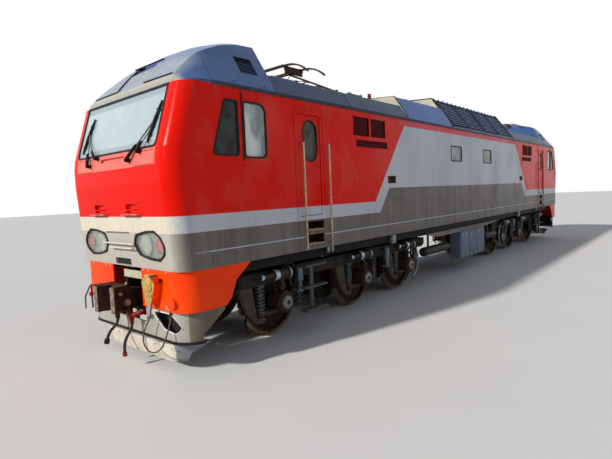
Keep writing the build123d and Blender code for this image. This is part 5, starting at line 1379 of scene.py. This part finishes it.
# Pantographs: welded steel tube, dark brown arms and a lighter upper frame, on red-brown porcelain.
# The collector head carries two carbon strips in bright channels.
porcelain = worn("porcelain", (156, 54, 40), (126, 42, 32), 0.12, 8.0, dirt=(90, 60, 48), dusty=0.3,
    coat=0.4, low=4.4, high=5.2)
arm_brown = worn("arm_brown", (44, 34, 30), (28, 24, 23), 0.45, 10.0, metal=0.3, dirt=(120, 80, 56),
    dusty=0.4, low=4.4, high=5.2)
tube_copper = worn("tube_copper", (120, 82, 62), (90, 62, 50), 0.4, 10.0, metal=0.4, dirt=(70, 52, 44),
    dusty=0.4, low=4.4, high=5.4)
carbon = worn("carbon", (34, 34, 36), (48, 47, 47), 0.35, 20.0, dusty=0.1, low=4.4, high=5.4)
copper = worn("copper", (112, 72, 54), (84, 56, 44), 0.4, 10.0, metal=0.6, dirt=(60, 46, 40), dusty=0.4,
    low=4.4, high=5.4)


def base_face(middle, normal):
    """0 for the base frame's steel, 1 for its insulators."""
    return 1 if middle.z - RAIL < 4.6995 else 0


dress(["pantograph_bases"], [arm_brown, porcelain], base_face)
dress(["lower_arm_front", "lower_arm_rear"], [arm_brown])
dress(["upper_arm_front", "upper_arm_rear"], [tube_copper])
dress(["collector_head_front", "collector_head_rear"], [arm_brown])
dress(["bus_bars"], [copper, porcelain], lambda middle, normal: 1 if middle.z < 4.861 else 0)


def both_ends(name, parts, finish, body):
    """A piece on a front body and the same piece, turned, on the rear one."""
    front = assemble(name + "_front", parts, finish, body + "_front")
    other_end(front, body + "_rear").name = name + "_rear"


strips = [block((x - 0.016, -0.52, 5.05), (x + 0.016, 0.52, 5.072), 0.006) for x in (-6.95, -6.45)]
both_ends("carbon_strips", strips, carbon, "collector_body")
heads = [turning((x, side * 0.545, 4.965), (x, side * 0.545, 5.03), ((0, 0.018), (0.5, 0.026), (1, 0.018)),
    10) for x in (-6.95, -6.45) for side in (-1, 1)]
both_ends("head_springs", heads, arm_brown, "collector_body")
frame_parts = []
for side in (-1, 1):
    frame_parts.append(turning((-6.18, side * 0.3, 4.8), (-5.3, side * 0.22, 4.8),
        ((0, 0.034), (0.08, 0.034), (0.1, 0.028), (0.9, 0.028), (1, 0.02)), 12))
    for x in (-7.0, -5.1):
        frame_parts.append(rod((x, side * 0.44, 4.728), (x, side * 0.44, 4.742), 0.07, 16))
for x in (-5.95, -5.62):
    frame_parts.append(block((x - 0.03, -0.4, 4.736), (x + 0.03, 0.4, 4.774), 0.005))
frame_parts.append(block((-6.56, -0.15, 4.745), (-5.9, 0.15, 4.79), 0.01))
other_end(assemble("pantograph_gear", frame_parts, arm_brown))
arm_parts = [rod((-6.45, -0.09, 4.82), (-6.45, 0.09, 4.82), 0.058, 18),
    rod((-4.85, -0.12, 4.89), (-4.85, 0.12, 4.89), 0.046, 18)]
for side in (-1, 1):
    arm_parts.append(rod((-6.4, side * 0.052, 4.87), (-4.9, side * 0.052, 4.935), 0.018, 10))
both_ends("lower_arm_fittings", arm_parts, arm_brown, "lower_arm_body")
upper_parts = []
for share, half in ((0.3, 0.266), (0.62, 0.336)):
    spot = Vector((-4.85, 0, 4.89)) + (Vector((-6.7, 0, 4.93)) - Vector((-4.85, 0, 4.89))) * share
    upper_parts.append(rod((spot.x, -half, spot.z), (spot.x, half, spot.z), 0.013, 10))
for side in (-1, 1):
    start, end = Vector((-4.85, side * 0.2, 4.89)), Vector((-6.7, side * 0.42, 4.93))
    a, b = start + (end - start) * 0.3, start + (end - start) * 0.62
    c, d = start + (end - start) * 0.66, start + (end - start) * 0.98
    upper_parts += [rod(a, Vector((b.x, -b.y, b.z)), 0.008, 8), rod(c, Vector((d.x, -d.y, d.z)), 0.008, 8)]
both_ends("upper_arm_braces", upper_parts, tube_copper, "upper_arm_body")
cables = [[(-7.0, side * 0.48, 4.8), (-6.9, side * 0.56, 4.78), (-6.7, side * 0.6, 4.7),
    (-6.64, side * 0.62, 4.56), (-6.6, side * 0.64, 4.5)] for side in (-1, 1)]
cables += [[(-5.06, 0.3, 4.78), (-4.86, 0.26, 4.7), (-4.64, -0.12, 4.76), (-4.5, -0.29, 4.87)],
    [(-4.0, -0.3, 4.88), (-3.96, -0.29, 4.76), (-3.93, -0.28, 4.66), (-3.91, -0.28, 4.62)]]
other_end(lines("roof_cables", cables, 0.012, copper, smooth=True))
lugs = []
for x in (-4.45, -4.0):
    lugs += [block((x - 0.045, -0.335, 4.855), (x + 0.045, -0.265, 4.897), 0.01),
        turning((x, -0.3, 4.897), (x, -0.3, 4.925), ((0, 0.014), (1, 0.012)), 8)]
other_end(assemble("bus_bar_clamps", lugs, copper))
line_posts = []
for x, y in ((-5.05, 0.95), (-4.6, 0.95), (-4.6, -0.95), (-7.55, 0.0)):
    foot = 4.52 if abs(y) > 0.5 else 4.6
    rows = []
    for step in range(6):
        rows += [(step / 6 + 0.01, 0.028), (step / 6 + 0.09, 0.052)]
    line_posts.append(turning((x, y, foot), (x, y, foot + 0.22), [(0, 0.05)] + rows + [(1, 0.026)], 14))
other_end(assemble("roof_posts", line_posts, porcelain))

# Cab interiors: a grey desk with a console and dials, two seats with stitched cushions on posts, and
# pale laminate walls. The cushions were made by subdivision and moved vertices over the CAD seats.
desk_grey = worn("desk_grey", (62, 66, 68), (52, 56, 58), 0.5, 3.0, dusty=0.1, high=3.4)
seat_shell = worn("seat_shell", (44, 44, 46), (36, 36, 38), 0.5, 6.0, dusty=0.1, high=3.4)
cloth = worn("seat_cloth", (58, 74, 98), (48, 62, 84), 0.9, 60.0, dusty=0.1, high=3.4)
dress(["cab_interiors"], [desk_grey, seat_shell], lambda middle, normal: 1 if abs(middle.x) < 9.05 else 0)
console = [block((-9.985, -1.08, 2.985), (-9.89, 1.08, 3.1), 0.012)]
for y in (-0.86, -0.62, -0.38, 0.38, 0.62, 0.86):
    console.append(turning((-9.9, y, 3.04), (-9.872, y, 3.04), ((0, 0.046), (0.7, 0.046), (1, 0.036)), 18))
for y in (-0.7, 0.62):
    console += [turning((-9.7, y, 2.88), (-9.7, y, 2.96), ((0, 0.06), (0.3, 0.06), (0.4, 0.014), (1, 0.02)),
        12), block((-9.76, y - 0.3, 2.858), (-9.6, y - 0.1, 2.905), 0.008)]
other_end(assemble("desk_console", console, seat_shell))
for end, angle in (("front", 0), ("rear", math.pi)):
    for side, hand in ((-1, "near"), (1, "far")):
        pads = []
        for low, high, lean in (((-8.955, 0.37, 2.478), (-8.56, 0.86, 2.57), 0.0),
                ((-8.604, 0.39, 2.56), (-8.518, 0.84, 3.13), 0.092)):
            pad = block((low[0], side * low[1], low[2]), (high[0], side * high[1], high[2]), 0.0)
            edit(pad, bpy.ops.mesh.subdivide, number_cuts=7)
            centre = [(a + b) / 2 for a, b in zip(low, high)]
            centre[1] *= side
            half = [(b - a) / 2 for a, b in zip(low, high)]
            thin = 2 if lean == 0.0 else 0
            for vertex in pad.data.vertices:
                share = [(vertex.co[i] - centre[i]) / half[i] for i in range(3)]
                wide = [share[i] for i in range(3) if i != thin]
                swell = (1 - 0.3 * abs(wide[0]) ** 3) * (1 - 0.3 * abs(wide[1]) ** 3)
                seam = 0.12 * math.exp(-(wide[0 if thin == 2 else 1] * 4.0) ** 2)
                vertex.co[thin] = centre[thin] + (vertex.co[thin] - centre[thin]) * (swell - seam)
                if lean:
                    vertex.co.x += lean * (vertex.co.z - low[2]) / (high[2] - low[2])
            rounding = pad.modifiers.new("rounding", "SUBSURF")
            rounding.levels = 1
            rounding.render_levels = 1
            bpy.ops.object.modifier_apply(modifier="rounding")
            bpy.ops.object.shade_smooth()
            pads.append(pad)
        for pad in pads:
            pad.data.transform(Matrix.Rotation(angle, 4, "Z"))
        cushion = assemble("seat_cushion_%s_%s" % (end, hand), pads, cloth)
